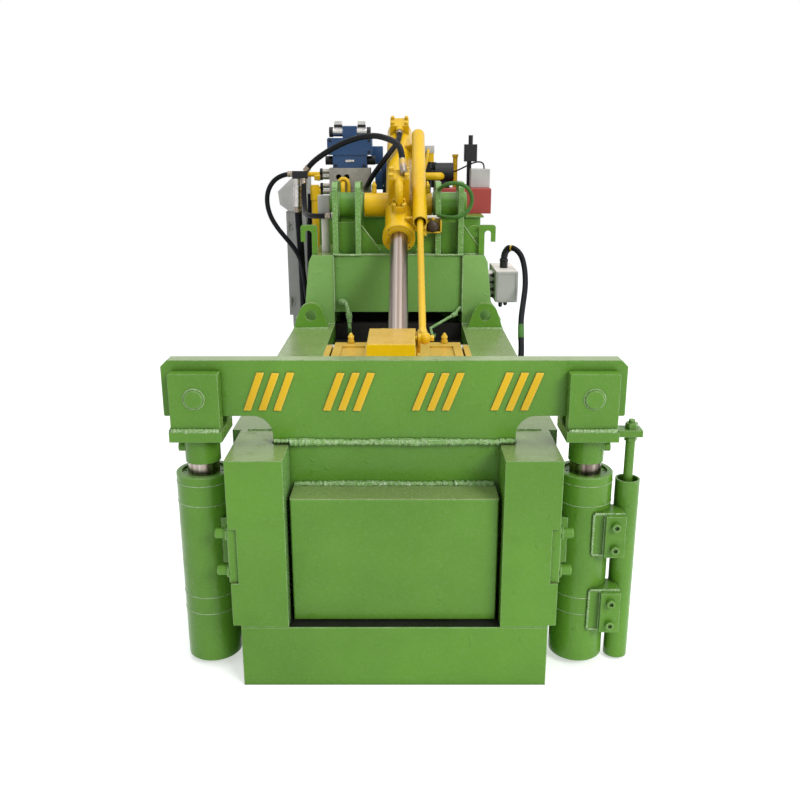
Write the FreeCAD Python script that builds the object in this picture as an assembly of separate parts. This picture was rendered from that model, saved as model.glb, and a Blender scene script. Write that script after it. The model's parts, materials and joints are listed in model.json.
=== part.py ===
import FreeCAD, Part
import math
import os

# Hydraulic scrap baler with a lifting discharge gate, a rear-hinged chamber lid
# and a main ram behind the chamber.  Millimetres.
# X runs to the right seen from the discharge end, Y runs to the rear, Z is up.
# The origin is on the floor, midway between the two gate cylinders.

V = FreeCAD.Vector

# ---------------------------------------------------------------- clearances
SLIDE_GAP = 3.0          # gate plate in the column slots
RUN_GAP = 0.05           # radial running fit of pistons, glands and bearings
SEAT_GAP = 0.3           # pieces that lie in a saddle or on a liner

# ---------------------------------------------------------------- front frame
FRONT_Y = -168.0         # front face of the columns
MOUTH_WIDTH = 600.0
SILL_TOP = 188.0
COLUMN_WIDTH = 136.0
COLUMN_DEPTH = 270.0
FRAME_TOP = 690.0
CHEEK_THICK = 22.0
CHEEK_FOOT = 194.0
KEY_LOW = 325.0
KEY_HIGH = 490.0
KEY_DEPTH = 210.0        # from the column front to the rear end of the key
KEY_SETBACK = 8.0        # the key's front behind the column's
KEY_PROUD = 5.0          # the key's outer side beyond the cheek's
KEY_BOLT_Y = -138.0
KEY_BOLT_LOW = 354.0
KEY_BOLT_HIGH = 467.0
KEY_BOLT_R = 10.0
KEY_BOLT_GRIP = 40.0     # depth of the bolt hole in the column
KEY_HEAD_R = 15.0
KEY_HEAD_HEIGHT = 30.0
KEY_WASHER_R = 22.0
KEY_WASHER_THICK = 6.0

# ---------------------------------------------------------------- gate
GATE_BLOCK_HALF = 290.0
GATE_BLOCK_FRONT = -131.0
GATE_BLOCK_TOP = 565.0
GATE_PLATE_FRONT = -18.0
GATE_PLATE_THICK = 50.0
GATE_WING_HALF = 345.0
GATE_LIFT_GAP = 2.0      # between the closed gate and the sill
BEAM_THICK = 50.0
BEAM_HALF = 648.0
BEAM_LOW = 773.0
BEAM_TOP = 934.0
BEAM_FOOT_HALF = 344.0
BEAM_FOOT_GAP = 4.0      # the gate plate's top over the columns
BEAM_ARC = 56.0
BEAM_CHAMFER = 18.0
BEAM_LOW_ROUND = 5.0

# ---------------------------------------------------------------- gate cylinders
CYL_X = 551.0
BARREL_R = 79.0
BARREL_BOTTOM = 20.0
BARREL_TOP = 606.0
BARREL_CAP = 40.0
BARREL_BORE_R = 62.5
GATE_ROD_R = 45.0
PISTON_LOW = 64.0
PISTON_HEIGHT = 46.0
GLAND_LOW = 565.0
GLAND_TOP = 600.0
SPANNER_HOLE_R = 4.0
SPANNER_HOLE_DEEP = 6.0
PORT_BOSS_R = 22.0
PORT_BOSS_OUT = 14.0
PORT_HOLE_R = 8.0
PORT_LOW_Z = 88.0
PORT_HIGH_Z = 540.0
COLLAR_R = 50.0
COLLAR_LOW = 636.0
COLLAR_STUB_R = 13.0
COLLAR_STUB_OUT = 17.0
CLEVIS_BASE_LOW = 712.0
CLEVIS_BASE_THICK = 30.0
CLEVIS_BASE_HALF_X = 73.0
CLEVIS_BASE_HALF_Y = 78.0
CLEVIS_EAR_HALF = 69.0
CLEVIS_EAR_TOP = 905.0
CLEVIS_EAR_THICK = 40.0
CLEVIS_EAR_GAP = 3.0     # between an ear and the beam
CLEVIS_PIN_R = 27.0
CLEVIS_PIN_Z = 834.0
CLEVIS_PIN_HALF = 76.0
PIN_HOLE_GAP = 0.3

# ---------------------------------------------------------------- gate sensor
SENSOR_X = 674.0
SENSOR_Y = -8.0
SENSOR_TUBE_R = 35.0
SENSOR_TUBE_WALL = 5.0
SENSOR_TUBE_LOW = 10.0
SENSOR_TUBE_TOP = 580.0
SENSOR_ROD_R = 13.5
SENSOR_TIP_R = 9.0       # of the rod above its upper nut
SENSOR_ROD_LOW = 40.0
SENSOR_ROD_TOP = 758.0
LUG_LOW = 712.0
LUG_THICK = 20.0
LUG_HALF_Y = 25.0
LUG_END_X = 702.0
NUT_ACROSS = 32.0
NUT_HEIGHT = 16.0
CLAMP_LEFT = 598.0
CLAMP_RIGHT = 655.0
CLAMP_FRONT = -104.0
CLAMP_BASE_LEFT = 567.0   # the wider layer against the barrel
CLAMP_BASE_FRONT = -84.0
CLAMP_BACK = -10.0
CLAMP_HEIGHT = 126.0
CLAMP_CENTRES = (196.0, 436.0)
CLAMP_SCREW_X = 625.0
CLAMP_SCREW_PITCH = 70.0
CLAMP_SCREW_R = 8.0
CLAMP_SCREW_DEEP = 24.0
CLAMP_HEAD_R = 12.0
CLAMP_HEAD_HEIGHT = 16.0
CLAMP_SOCKET_R = 6.0
CLAMP_SOCKET_DEEP = 8.0

# ---------------------------------------------------------------- chamber
WALL_THICK = 184.0
WALL_PLATE = 40.0        # plates of the box-section walls
CHAMBER_LENGTH = 2061.0  # from the columns to the rear of the tower
FLOOR_PLATE = 40.0
FLOOR_RIB_THICK = 24.0
FLOOR_RIB_PITCH = 190.0
LINER_THICK = 24.0
LINER_LOW = 626.0
LINER_LENGTH = 1150.0
LUG_EYE_Y = 1613.0
LUG_EYE_Z = 751.0
LUG_EYE_R = 25.0
LIFT_LUG_THICK = 30.0
LIFT_LUG_HALF = 82.0
LIFT_LUG_ROUND = 58.0

# ---------------------------------------------------------------- lid
LID_HALF = 268.0
LID_FRONT_Y = 47.0
LID_THICK = 60.0
HINGE_Y = 1302.0
HINGE_SHAFT_R = 22.0
HINGE_SHAFT_IN_WALL = 30.0
LID_PANEL_DEEP = 8.0
LID_PANEL_RIM = 34.0
LID_NIPPLE_X = 200.0
LID_NIPPLE_Y = 1290.0
LID_NIPPLE_R = 12.0
LID_NIPPLE_HEIGHT = 26.0
LID_NIPPLE_TIP_R = 7.0
LID_NIPPLE_TIP = 14.0
BLOCK_LEFT = -102.0
BLOCK_RIGHT = 66.0
BLOCK_FRONT = 552.0
BLOCK_REAR = 823.0
BLOCK_HEIGHT = 160.0
BLOCK_PLATE = 16.0

# ---------------------------------------------------------------- lid cylinder
LID_CYL_X = 4.0
TRUNNION_Y = 1832.0
TRUNNION_Z = 1235.0
TILT_DEG = 29.3          # slope of the closed lid's cylinder
EYE_DISTANCE = 980.5     # trunnion to rod eye with the lid closed
GLAND_FACE = 275.0       # trunnion to the front face of the barrel
LID_BARREL_R = 63.5
LID_BARREL_LENGTH = 945.0
LID_BORE_R = 50.0
LID_FLANGE_R = 74.0
LID_FLANGE_LENGTH = 34.0
FLANGE_HOLE_CIRCLE = 66.0
FLANGE_HOLE_TURN = math.radians(-45)
LID_GLAND_R = 58.0
LID_GLAND_LENGTH = 60.0
LID_CAP = 30.0
LID_ROD_R = 40.0
LID_PISTON_START = 66.0  # along the barrel, from its front face
LID_PISTON_LENGTH = 50.0
TRUNNION_ARM_R = 56.0
TRUNNION_ARM_END = 158.0
TRUNNION_PIN_R = 35.0
TRUNNION_PIN_END = 312.0
FRONT_BLOCK = (205.0, 285.0, 180.0)   # start, end along the barrel, height over its axis
REAR_BLOCK_LENGTH = 80.0
REAR_BLOCK_SETBACK = 15.0    # from the barrel's rear end
REAR_BLOCK_HEIGHT = 96.0
PORT_BLOCK_HALF = 48.0
PORT_SCREW_R = 9.0
PORT_SCREW_HEIGHT = 16.0
PORT_SCREW_INSET = 13.0
ELBOW_R = 19.0
ELBOW_BEND = 40.0
ELBOW_START = 140.0
ELBOW_HEIGHT = 128.0
ELBOW_FLANGE_R = 34.0
ELBOW_FLANGE_THICK = 30.0
FITTING_R = 19.0
FITTING_LENGTH = 34.0
LID_EYE_R = 45.0
LID_EYE_HALF = 40.0
LID_PIN_R = 22.0
EAR_GAP = 4.0            # rod eye to ear, each side
EAR_THICK = 25.0
EAR_ROUND = 62.0
EAR_HOLE_R = 40.0        # leaves room for the straight-line approximation of the linkage
EAR_BASE_FRONT = 130.0
EAR_BASE_REAR = 110.0
KEEPER_R = 50.0
KEEPER_THICK = 6.0
KEEPER_GAP = 0.5
LID_SENSOR_X = 98.0
LID_SENSOR_OFF = 89.0    # square to the barrel
LID_SENSOR_TUBE_R = 32.0
LID_SENSOR_TUBE_WALL = 5.0
LID_SENSOR_TUBE_LENGTH = 770.0
LID_SENSOR_ROD_R = 14.0
LID_SENSOR_ROD_IN = 420.0
SENSOR_EYE_REACH = 65.0  # how far the sensor rod's eye lies ahead of the rod eye
SENSOR_EYE_R = 18.0
SENSOR_ARM_ROOT_R = 34.0
SENSOR_ARM_THICK = 11.0
SENSOR_EYE_THICK = 14.0
SENSOR_STRAP_THICK = 14.0
SENSOR_STRAPS = (60.0, 700.0)

# ---------------------------------------------------------------- tower
TOWER_FRONT = 1692.0
TOWER_LENGTH = 471.0
TOWER_TOP = 1015.0
TOWER_FOOT_TOP = 720.0
TOWER_SHOULDER_X = 440.0
TOWER_SHOULDER_Z = 755.0
TOWER_HEAD_X = 415.0
TOWER_HEAD_Z = 985.0
TOWER_HEAD_CUT_X = 400.0
TOWER_PLATE = 20.0
PANEL_RECESS = 20.0
PANEL_LOW = 747.0
REAR_PANEL_LOW = 600.0
BEARING_INNER_X = 172.0
BEARING_OUTER_X = 277.0
BEARING_PLATE = 25.0
BEARING_HALF_Y = 125.0
BEARING_TOP = 1343.0
BEARING_CUT = 45.0
HOUSING_R = 58.5
HOUSING_START_X = 162.0
HOUSING_END_X = 319.0
GUSSET_WIDTH = 90.0
GUSSET_TOP = 1150.0
GUSSET_FOOT = 18.0
GUSSET_THICK = 12.0
GUSSET_SETBACK = 35.0
RIB_TOP = 1160.0
HOOK_LEG_X = 374.0
HOOK_LEG_WIDTH = 26.0
HOOK_TIP_X = 451.0
HOOK_TIP_WIDTH = 21.0
HOOK_TIP_Z = 1075.0
HOOK_TOP = 1152.0
HOOK_THICK = 12.0
HOOK_Y = 1716.0
TOWER_EYE_X = 355.0
TOWER_EYE_Z = 1105.0
TOWER_EYE_R = 15.0
TOWER_EYE_ROUND = 42.0
TOWER_EYE_SETBACK = 62.0

# ---------------------------------------------------------------- main ram
RAM_HALF = 295.0
RAM_TOP = 622.0
RAM_FACE_Y = 1332.0
RAM_LENGTH = 340.0
RAM_PLATE = 45.0
RAM_WALL = 25.0
RAM_AXIS_Z = 430.0
RAM_ROD_R = 75.0
THRUST_Y = 1712.0
THRUST_THICK = 60.0
MAIN_FLANGE_R = 180.0
MAIN_FLANGE_THICK = 50.0
MAIN_BARREL_R = 130.0
MAIN_BORE_R = 105.0
MAIN_GLAND = 80.0
MAIN_LENGTH = 1560.0
MAIN_CAP = 50.0
MAIN_PISTON = 70.0
MAIN_PISTON_SETBACK = 32.0   # from the bore's rear end with the ram back
FRAME_END_Y = 3360.0
BEAM_INNER_X = 300.0
BEAM_OUTER_X = 360.0
REAR_BEAM_TOP = 260.0
SADDLE_THICK = 30.0
SADDLE_PLACES = (2480.0, 3180.0)
POST_LENGTH = 70.0
POST_PLACES = (2320.0, 3180.0)

# ---------------------------------------------------------------- power pack
TANK_HALF = 430.0
TANK_FRONT = 2282.0
TANK_REAR = 3330.0
TANK_TOP = 1150.0
TANK_WALL = 6.0
TANK_ROUND = 25.0
TANK_COVER_THICK = 8.0
TANK_COVER_LIP = 14.0
FILLER_R = 45.0
FILLER_HEIGHT = 60.0
FILLER_X = 250.0
FILLER_Y = 3150.0
MOTOR_X = 15.0
MOTOR_HEIGHT = 195.0     # its axis over the tank
MOTOR_R = 118.0
MOTOR_FIN_OUT = 15.0
MOTOR_FIN_THICK = 7.0
MOTOR_FINS = 20
MOTOR_FRONT = 2720.0
MOTOR_LENGTH = 430.0
MOTOR_COWL = 90.0
MOTOR_FOOT_WIDTH = 220.0
MOTOR_FOOT_LENGTH = 260.0
MOTOR_BOX_HALF = 55.0
MOTOR_BOX_HEIGHT = 60.0
BELL_R = 95.0
BELL_LENGTH = 80.0
PUMP_R = 62.0
PUMP_LENGTH = 130.0
MANIFOLD_INSET = 61.0    # from the tank's left side
MANIFOLD_WIDTH = 217.0
MANIFOLD_FRONT = 2400.0
MANIFOLD_REAR = 2560.0
MANIFOLD_TOP = 1389.0
MANIFOLD_HOLE_R = 15.0
MANIFOLD_HOLE_DEEP = 40.0
MANIFOLD_HOLES = (50.0, 92.0)      # from its left side
MANIFOLD_HOLE_DOWN = 47.0
VALVE_INSET = 109.0      # the valve's middle from the manifold's left side
VALVE_LOW_HALF = 90.0
VALVE_MID_HALF = 118.0
VALVE_STEP_Z = 1455.0
VALVE_TOP = 1542.0
VALVE_COVER_R = 23.0
VALVE_COVER_OUT = 15.0
VALVE_COVER_Z = 1427.0
VALVE_FRONT = 2415.0
VALVE_REAR = 2545.0
PILOT_HALF = 38.0
PILOT_TOP = 1603.0
PILOT_HALF_Y = 38.0
SOLENOID_R = 23.0
SOLENOID_LENGTH = 52.0
SOLENOID_CAP_R = 26.0
SOLENOID_CAP_LENGTH = 20.0
SOLENOID_Z = 1572.0
PLUG_WIDTH = 40.0
PLUG_TOP = 1628.0
NIPPLE_R = 13.0
NIPPLE_LENGTH = 38.0
NIPPLE_HEX_ACROSS = 29.0
NIPPLE_HEX_LENGTH = 14.0
NIPPLE_HEIGHTS = (1265.0, 1295.0, 1342.0, 1370.0)
NIPPLE_Y = 2440.0
FILTER_Y = 2532.0
FILTER_Z = 1362.0
FILTER_R = 52.0
FILTER_NECK_R = 24.0
SMALL_FITTING_R = 8.0
FILTER_BOWL_LEFT = 195.0
FILTER_RIGHT = 294.0
FILTER_STAND_LEFT = 20.0 # in from the bowl's left end
FILTER_STAND_RIGHT = 20.0
FILTER_STAND_HALF = 30.0
RELIEF_X = 388.0
RELIEF_Y = 2552.0
RELIEF_HALF = 34.0
RELIEF_LOW = 1420.0
RELIEF_TOP = 1510.0
RELIEF_STUD_R = 12.0
RELIEF_STUD_TOP = 1557.0
SIDE_BLOCK_X = 158.0
SIDE_BLOCK_Y = 2532.0
SIDE_BLOCK_HALF = 30.0
SIDE_BLOCK_LOW = 1150.0
SIDE_BLOCK_TOP = 1501.0
SIDE_HEAD_HEIGHT = 83.0
SIDE_PORT_Z = 1448.0
TERMINAL_LEFT = 388.0
TERMINAL_RIGHT = 492.0
TERMINAL_LOW = 1283.0
TERMINAL_TOP = 1382.0
TERMINAL_FRONT = 2492.0
TERMINAL_REAR = 2592.0
COOLER_LEFT = 190.0
COOLER_RIGHT = 496.0
COOLER_FRONT = 2440.0
COOLER_REAR = 2620.0
PIPE_R = 13.0
RISER_PIPE_R = 19.0
RISER_PIPE_X = -430.0
RISER_PIPE_Y = 2225.0
RISER_PORT_ANGLE = 30.0  # above level, on the main cylinder's left
RISER_PIPE_TOP = 1310.0
RISER_PIPE_COLLAR_R = 23.0
RISER_PIPE_COLLAR = 75.0
SMALL_PIPE_R = 7.0
PORT_FLANGE_R = 31.0
PORT_FLANGE_THICK = 14.0
PORT_FLANGE_INSET = 74.0 # from the manifold's left side
PORT_FLANGE_Z = 1310.0
MANIFOLD_PIPE_OUT = 60.0
UPPER_ELBOW_Z = 1356.0
LOWER_ELBOW_Z = 1280.0
STAND_PIPE_X = 311.0
STAND_PIPE_Y = 2640.0
STAND_PIPE_TOP = 1443.0
STAND_CAP_R = 17.0
PUMP_PIPE_R = 20.0
PUMP_PIPE_Y = 2462.0
PUMP_PIPE_X = 226.0
TEE_LEFT = -545.0
TEE_RIGHT = -468.0
TEE_FRONT = 2234.0
TEE_REAR = 2270.0
TEE_LOW = 1340.0
TEE_TOP = 1378.0
CRIMP_R = 22.0
CRIMP_LENGTH = 105.0
CRIMP_NECK_R = 17.0
CRIMP_NECK = 35.0
CYLINDER_PORT_R = 28.0
CYLINDER_PORT_OUT = 24.0

# ---------------------------------------------------------------- electrics
CABINET_LEFT = -590.0
CABINET_RIGHT = -500.0
CABINET_FRONT = 2420.0
CABINET_REAR = 2870.0
CABINET_LOW = 535.0
CABINET_TOP = 1165.0
CABINET_WALL = 3.0
CABINET_BRACKETS = (760.0, 1080.0)
CABINET_BRACKET_HEIGHT = 40.0
DOOR_THICK = 18.0
DOOR_GAP = 0.5
DOOR_MARGIN = 3.0
DOOR_REBATE = 16.0       # how far the leaf laps over the opening's rim
DOOR_LOW = 598.0
DOOR_HINGE_R = 8.0
DOOR_HINGE_PIN_R = 4.0
DOOR_KNUCKLE = 16.0
DOOR_KNUCKLE_GAP = 0.5
HINGE_STRAP_THICK = 4.0
HINGE_STRAP = 14.0
DOOR_HINGES = (676.0, 1086.0)
CONSOLE_PROUD = 15.0     # how far the console stands ahead of the cabinet
CONSOLE_LENGTH = 330.0
CONSOLE_TOP = 1352.0
CONSOLE_TOP_LEFT = -555.0
CONSOLE_NOSE_X = -646.0
CONSOLE_NOSE_HIGH = 1268.0
CONSOLE_NOSE_LOW = 1200.0
CONSOLE_NOSE_IN = 8.0
POST_X = -347.0
POST_Y = 1860.0
POST_R = 20.0
POST_TOP = 1177.0
SWITCH_LEFT = -379.0
SWITCH_RIGHT = -324.0
SWITCH_HALF_Y = 30.0
SWITCH_TOP = 1279.0
JUNCTION_LEFT = 471.0
JUNCTION_RIGHT = 581.0
JUNCTION_FRONT = 1852.0
JUNCTION_REAR = 2182.0
JUNCTION_LOW = 767.0
JUNCTION_TOP = 919.0
JUNCTION_ROUND = 6.0
GLAND_R = 17.0
GLAND_HEIGHT = 30.0
GLAND_Y = 1982.0
GLAND_X = 523.0

# ---------------------------------------------------------------- hose routes
HOSE_R = 14.0
LOOP_R = 12.5
RISER_R = 18.5
GREEN_HOSE_R = 9.0
CONDUIT_R = 13.5
LEAD_R = 4.0
ARCH_X = 24.0
ARCH_FITTING_RISE = 24.0
ARCH_FITTING_R = 17.0
ARCH_START = (20, 1735, 1436)
ARCH_HOSE_LEAD = 50.0
ARCH_HOSE = [
    (4, 1802, 1503), (-18, 1850, 1521), (-56, 1912, 1537), (-117, 1982, 1551), (-212, 2072, 1538),
    (-311, 2142, 1500), (-396, 2200, 1452), (-450, 2240, 1412), (-478, 2252, 1378),
]
CAP_HOSE_LEAD = 42.0
CAP_HOSE = [(-6, 2144, 1518), (-45, 2094, 1466), (-95, 2088, 1404), (-137, 2127, 1347), (-163, 2210, 1302)]
CAP_HOSE_END = (-173, 2356, 1289)
LOOP_HOSE = [
    (-545, 2252, 1363), (-582, 2252, 1363), (-638, 2247, 1337), (-673, 2237, 1285), (-681, 2232, 1222),
    (-667, 2232, 1155), (-632, 2232, 1093), (-584, 2230, 1035), (-536, 2228, 975), (-506, 2224, 905),
    (-496, 2222, 810), (-488, 2222, 728),
]
LOOP_END = (-472, 2222, 650)
RISER_TOP = (-523, 2252)
RISER_HOSE = [
    (-523, 2255, 1150), (-518, 2262, 1020), (-514, 2266, 880), (-512, 2268, 740), (-512, 2272, 620),
    (-498, 2276, 520), (-436, 2280, 448), (-340, 2280, 428), (-240, 2280, 430), (-154, 2280, 430),
]
CROSS_HOSE = [
    (-487, 2234, 1340), (-487, 2225, 1290), (-483, 2193, 1234), (-475, 2140, 1195), (-464, 2060, 1179),
    (-431, 1862, 1184), (-397, 1810, 1185), (-349, 1777, 1187),
]
CROSS_HOSE_END = (-311, 1762, 1190)
DROP_HOSE_Y = 2290
DROP_HOSE_OUT = [       # out from the tank's left side, and height
    (32, 1262), (34, 1200), (40, 1090), (44, 980), (46, 870), (44, 770), (32, 685), (12, 605),
]
WALL_ELBOW_DROP = 60.0
GREEN_START = (187, 1693, 1312)
GREEN_HOSE = [
    (193, 1680, 1320), (216, 1649, 1337), (254, 1632, 1344), (295, 1633, 1335), (325, 1638, 1307),
    (335, 1641, 1267), (323, 1640, 1228), (293, 1637, 1201), (255, 1638, 1191), (219, 1654, 1191),
    (193, 1683, 1195),
]
GREEN_END = (187, 1693, 1197)
CONDUIT = [
    (523, 1982, 985), (540, 1970, 1018), (566, 1942, 1022), (596, 1912, 996), (610, 1882, 951),
    (612, 1832, 900), (607, 1782, 849), (590, 1712, 789), (572, 1632, 733), (562, 1545, 680), (556, 1465, 626),
    (546, 1402, 580),
]
CONDUIT_END = (502, 1378, 556)
LEAD = [
    (462, 2532, 1382), (462, 2532, 1400), (450, 2516, 1416), (424, 2504, 1420), (390, 2502, 1410),
    (354, 2506, 1392), (322, 2516, 1376), (294, 2528, 1366),
]

# ---------------------------------------------------------------- worked out
MANIFOLD_LEFT = MANIFOLD_INSET - TANK_HALF
MOTOR_Z = TANK_TOP + MOTOR_HEIGHT
FILTER_LEFT = SIDE_BLOCK_X + SIDE_BLOCK_HALF / 2       # the neck starts on the side valve's stem
MAIN_PISTON_REAR = THRUST_Y + THRUST_THICK + MAIN_LENGTH - MAIN_CAP - MAIN_PISTON_SETBACK
VALVE_X = MANIFOLD_LEFT + VALVE_INSET
PORT_FLANGE_X = MANIFOLD_LEFT + PORT_FLANGE_INSET
DROP_HOSE = [(-TANK_HALF - out, DROP_HOSE_Y, z) for out, z in DROP_HOSE_OUT]
DROP_END = DROP_HOSE[-1]
COLUMN_OUT = MOUTH_WIDTH / 2 + COLUMN_WIDTH
CHEEK_OUT = COLUMN_OUT + CHEEK_THICK
WALL_FRONT = FRONT_Y + COLUMN_DEPTH
WALL_IN = MOUTH_WIDTH / 2
WALL_OUT = WALL_IN + WALL_THICK
WALL_REAR = WALL_FRONT + CHAMBER_LENGTH
TOWER_REAR = TOWER_FRONT + TOWER_LENGTH
HINGE_Z = FRAME_TOP - LID_THICK / 2
BEAM_FOOT = FRAME_TOP + BEAM_FOOT_GAP
KEY_FRONT = FRONT_Y + KEY_SETBACK
KEY_OUT = CHEEK_OUT + KEY_PROUD
TILT = math.radians(TILT_DEG)
ALONG = V(0, math.cos(TILT), math.sin(TILT))       # up the lid cylinder, to the rear
SQUARE = V(0, -math.sin(TILT), math.cos(TILT))     # out of its upper side
TRUNNION = V(LID_CYL_X, TRUNNION_Y, TRUNNION_Z)
GLAND_POINT = TRUNNION - ALONG * GLAND_FACE
EYE_POINT = TRUNNION - ALONG * EYE_DISTANCE
REAR_BLOCK_END = LID_BARREL_LENGTH - REAR_BLOCK_SETBACK
REAR_BLOCK = (REAR_BLOCK_END - REAR_BLOCK_LENGTH, REAR_BLOCK_END, REAR_BLOCK_HEIGHT)

NODES = {}


# ---------------------------------------------------------------- small helpers
def box(x0, x1, y0, y1, z0, z1):
    return Part.makeBox(x1 - x0, y1 - y0, z1 - z0, V(x0, y0, z0))


def bar(start, direction, radius, length):
    return Part.makeCylinder(radius, length, V(*start), V(*direction))


def pipe_ring(start, direction, outer, inner, length):
    return bar(start, direction, outer, length).cut(bar(start, direction, inner, length))


def plate_xz(corners, y0, y1):
    """A plate whose outline lies in X and Z, from y0 to y1."""
    face = Part.Face(Part.makePolygon([V(x, y0, z) for x, z in corners + corners[:1]]))
    return face.extrude(V(0, y1 - y0, 0))


def plate_yz(corners, x0, x1):
    """A plate whose outline lies in Y and Z, from x0 to x1."""
    face = Part.Face(Part.makePolygon([V(x0, y, z) for y, z in corners + corners[:1]]))
    return face.extrude(V(x1 - x0, 0, 0))


def outline_face(edges):
    return Part.Face(Part.Wire(edges))


def mirrored(shape):
    return shape.mirror(V(0, 0, 0), V(1, 0, 0))


def hexagon(start, direction, across, height):
    """A hexagonal prism, such as a nut without its hole."""
    radius = across / math.sqrt(3)
    points = [V(radius * math.cos(k * math.pi / 3), radius * math.sin(k * math.pi / 3), 0) for k in range(7)]
    prism = Part.Face(Part.makePolygon(points)).extrude(V(0, 0, height))
    prism.Placement = FreeCAD.Placement(V(*start), FreeCAD.Rotation(V(0, 0, 1), V(*direction)))
    return prism


def group(shapes):
    return Part.makeCompound(shapes)


def both(shape):
    """The right piece and its mirror image."""
    return group([shape, mirrored(shape)])


def pair(name, shape):
    """The right piece and its mirror image, each in a node of its own."""
    NODES[name + "_right"] = shape
    NODES[name + "_left"] = mirrored(shape)


def on_barrel(x, along, square):
    """A point given along the lid cylinder from its front face and square to it."""
    return V(x, 0, 0) + V(0, GLAND_POINT.y, GLAND_POINT.z) + ALONG * along + SQUARE * square


def barrel_box(x0, x1, along0, along1, square0, square1):
    """A block whose sides follow the lid cylinder."""
    block = Part.makeBox(x1 - x0, along1 - along0, square1 - square0)
    turn = FreeCAD.Rotation(V(1, 0, 0), TILT_DEG)
    block.Placement = FreeCAD.Placement(on_barrel(x0, along0, square0), turn)
    return block


def bent_path(points):
    """Straight runs joined by tangent arcs as large as the runs allow, and the arcs' radii."""
    edges = []
    radii = []
    last = points[0]
    for before, corner, after in zip(points, points[1:], points[2:]):
        back = (before - corner).normalize()
        on = (after - corner).normalize()
        half_turn = (math.pi - back.getAngle(on)) / 2
        tangent = 0.45 * min((before - corner).Length, (after - corner).Length)
        radius = tangent / math.tan(half_turn)
        inward = (back + on).normalize() * (radius / math.cos(half_turn) - radius)
        edges.append(Part.LineSegment(last, corner + back * tangent).toShape())
        arc = Part.Arc(corner + back * tangent, corner + inward, corner + on * tangent)
        edges.append(arc.toShape())
        last = corner + on * tangent
        radii.append(radius)
    edges.append(Part.LineSegment(last, points[-1]).toShape())
    return Part.Wire(edges), radii


def tube_along(route, radius):
    """A round bar along a route, and what its path measures."""
    points = [V(*p) for p in route]
    path, radii = bent_path(points)
    circle = Part.Wire(Part.Circle(points[0], points[1] - points[0], radius).toShape())
    return path.makePipeShell([circle], True, False), path.Length, radii


def cord(name, *routes):
    """One node for one hose, or for a few that run side by side: each has its points and its radius."""
    solids = []
    for route, radius in routes:
        solid, length, radii = tube_along(route, radius)
        share = solid.Volume / (math.pi * radius ** 2 * length)
        print(name, "length", round(length), "radii", [round(r) for r in radii], "volume share", round(share, 4))
        solids.append(solid)
    NODES[name] = solids[0] if len(solids) == 1 else group(solids)


# ---------------------------------------------------------------- front frame
def column():
    """The right column: a heavy bar with the gate's slot, and a cheek with the key's pocket."""
    core = box(WALL_IN, COLUMN_OUT, FRONT_Y, WALL_FRONT, SILL_TOP, FRAME_TOP)
    slot_front = GATE_PLATE_FRONT - SLIDE_GAP
    slot_rear = GATE_PLATE_FRONT + GATE_PLATE_THICK + SLIDE_GAP
    slot = box(WALL_IN - 1, GATE_WING_HALF + SLIDE_GAP, slot_front, slot_rear, SILL_TOP, FRAME_TOP + 1)
    cheek = box(COLUMN_OUT, CHEEK_OUT, FRONT_Y, WALL_FRONT, CHEEK_FOOT, FRAME_TOP)
    pocket = box(COLUMN_OUT, CHEEK_OUT + 1, FRONT_Y - 1, FRONT_Y + KEY_DEPTH, KEY_LOW, KEY_HIGH)
    solid = core.fuse(cheek.cut(pocket)).cut(slot)
    for z in (KEY_BOLT_LOW, KEY_BOLT_HIGH):
        hole_start = (COLUMN_OUT - KEY_BOLT_GRIP, KEY_BOLT_Y, z)
        solid = solid.cut(bar(hole_start, (1, 0, 0), KEY_BOLT_R, KEY_BOLT_GRIP + 1))
    return solid


def sill():
    beam = box(-COLUMN_OUT, COLUMN_OUT, FRONT_Y, WALL_FRONT, 0, SILL_TOP)
    front_top = [e for e in beam.Edges if e.BoundBox.YMax < FRONT_Y + 1 and e.BoundBox.ZMin > SILL_TOP - 1]
    return beam.makeChamfer(2.0, front_top)


def cylinder_key():
    """A plate in the cheek's pocket with a saddle that carries the gate cylinder."""
    key_rear = FRONT_Y + KEY_DEPTH
    plate = box(COLUMN_OUT, KEY_OUT, KEY_FRONT, key_rear, KEY_LOW, KEY_HIGH)
    outer_edge = [e for e in plate.Edges if e.BoundBox.XMin > KEY_OUT - 1 and e.BoundBox.YMax < KEY_FRONT + 1]
    plate = plate.makeChamfer(KEY_PROUD / 2, outer_edge)
    pad_low = KEY_LOW + KEY_WASHER_THICK * 2
    pad_high = KEY_HIGH - KEY_WASHER_THICK * 2
    pad = box(KEY_OUT, CYL_X - BARREL_R / 2, -BARREL_R * 0.75, key_rear, pad_low, pad_high)
    saddle = bar((CYL_X, 0, KEY_LOW), (0, 0, 1), BARREL_R, KEY_HIGH - KEY_LOW)
    solid = plate.fuse(pad).cut(saddle)
    for z in (KEY_BOLT_LOW, KEY_BOLT_HIGH):
        hole_start = (COLUMN_OUT - 1, KEY_BOLT_Y, z)
        solid = solid.cut(bar(hole_start, (1, 0, 0), KEY_BOLT_R, KEY_OUT - COLUMN_OUT + 2))
    return solid


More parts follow.
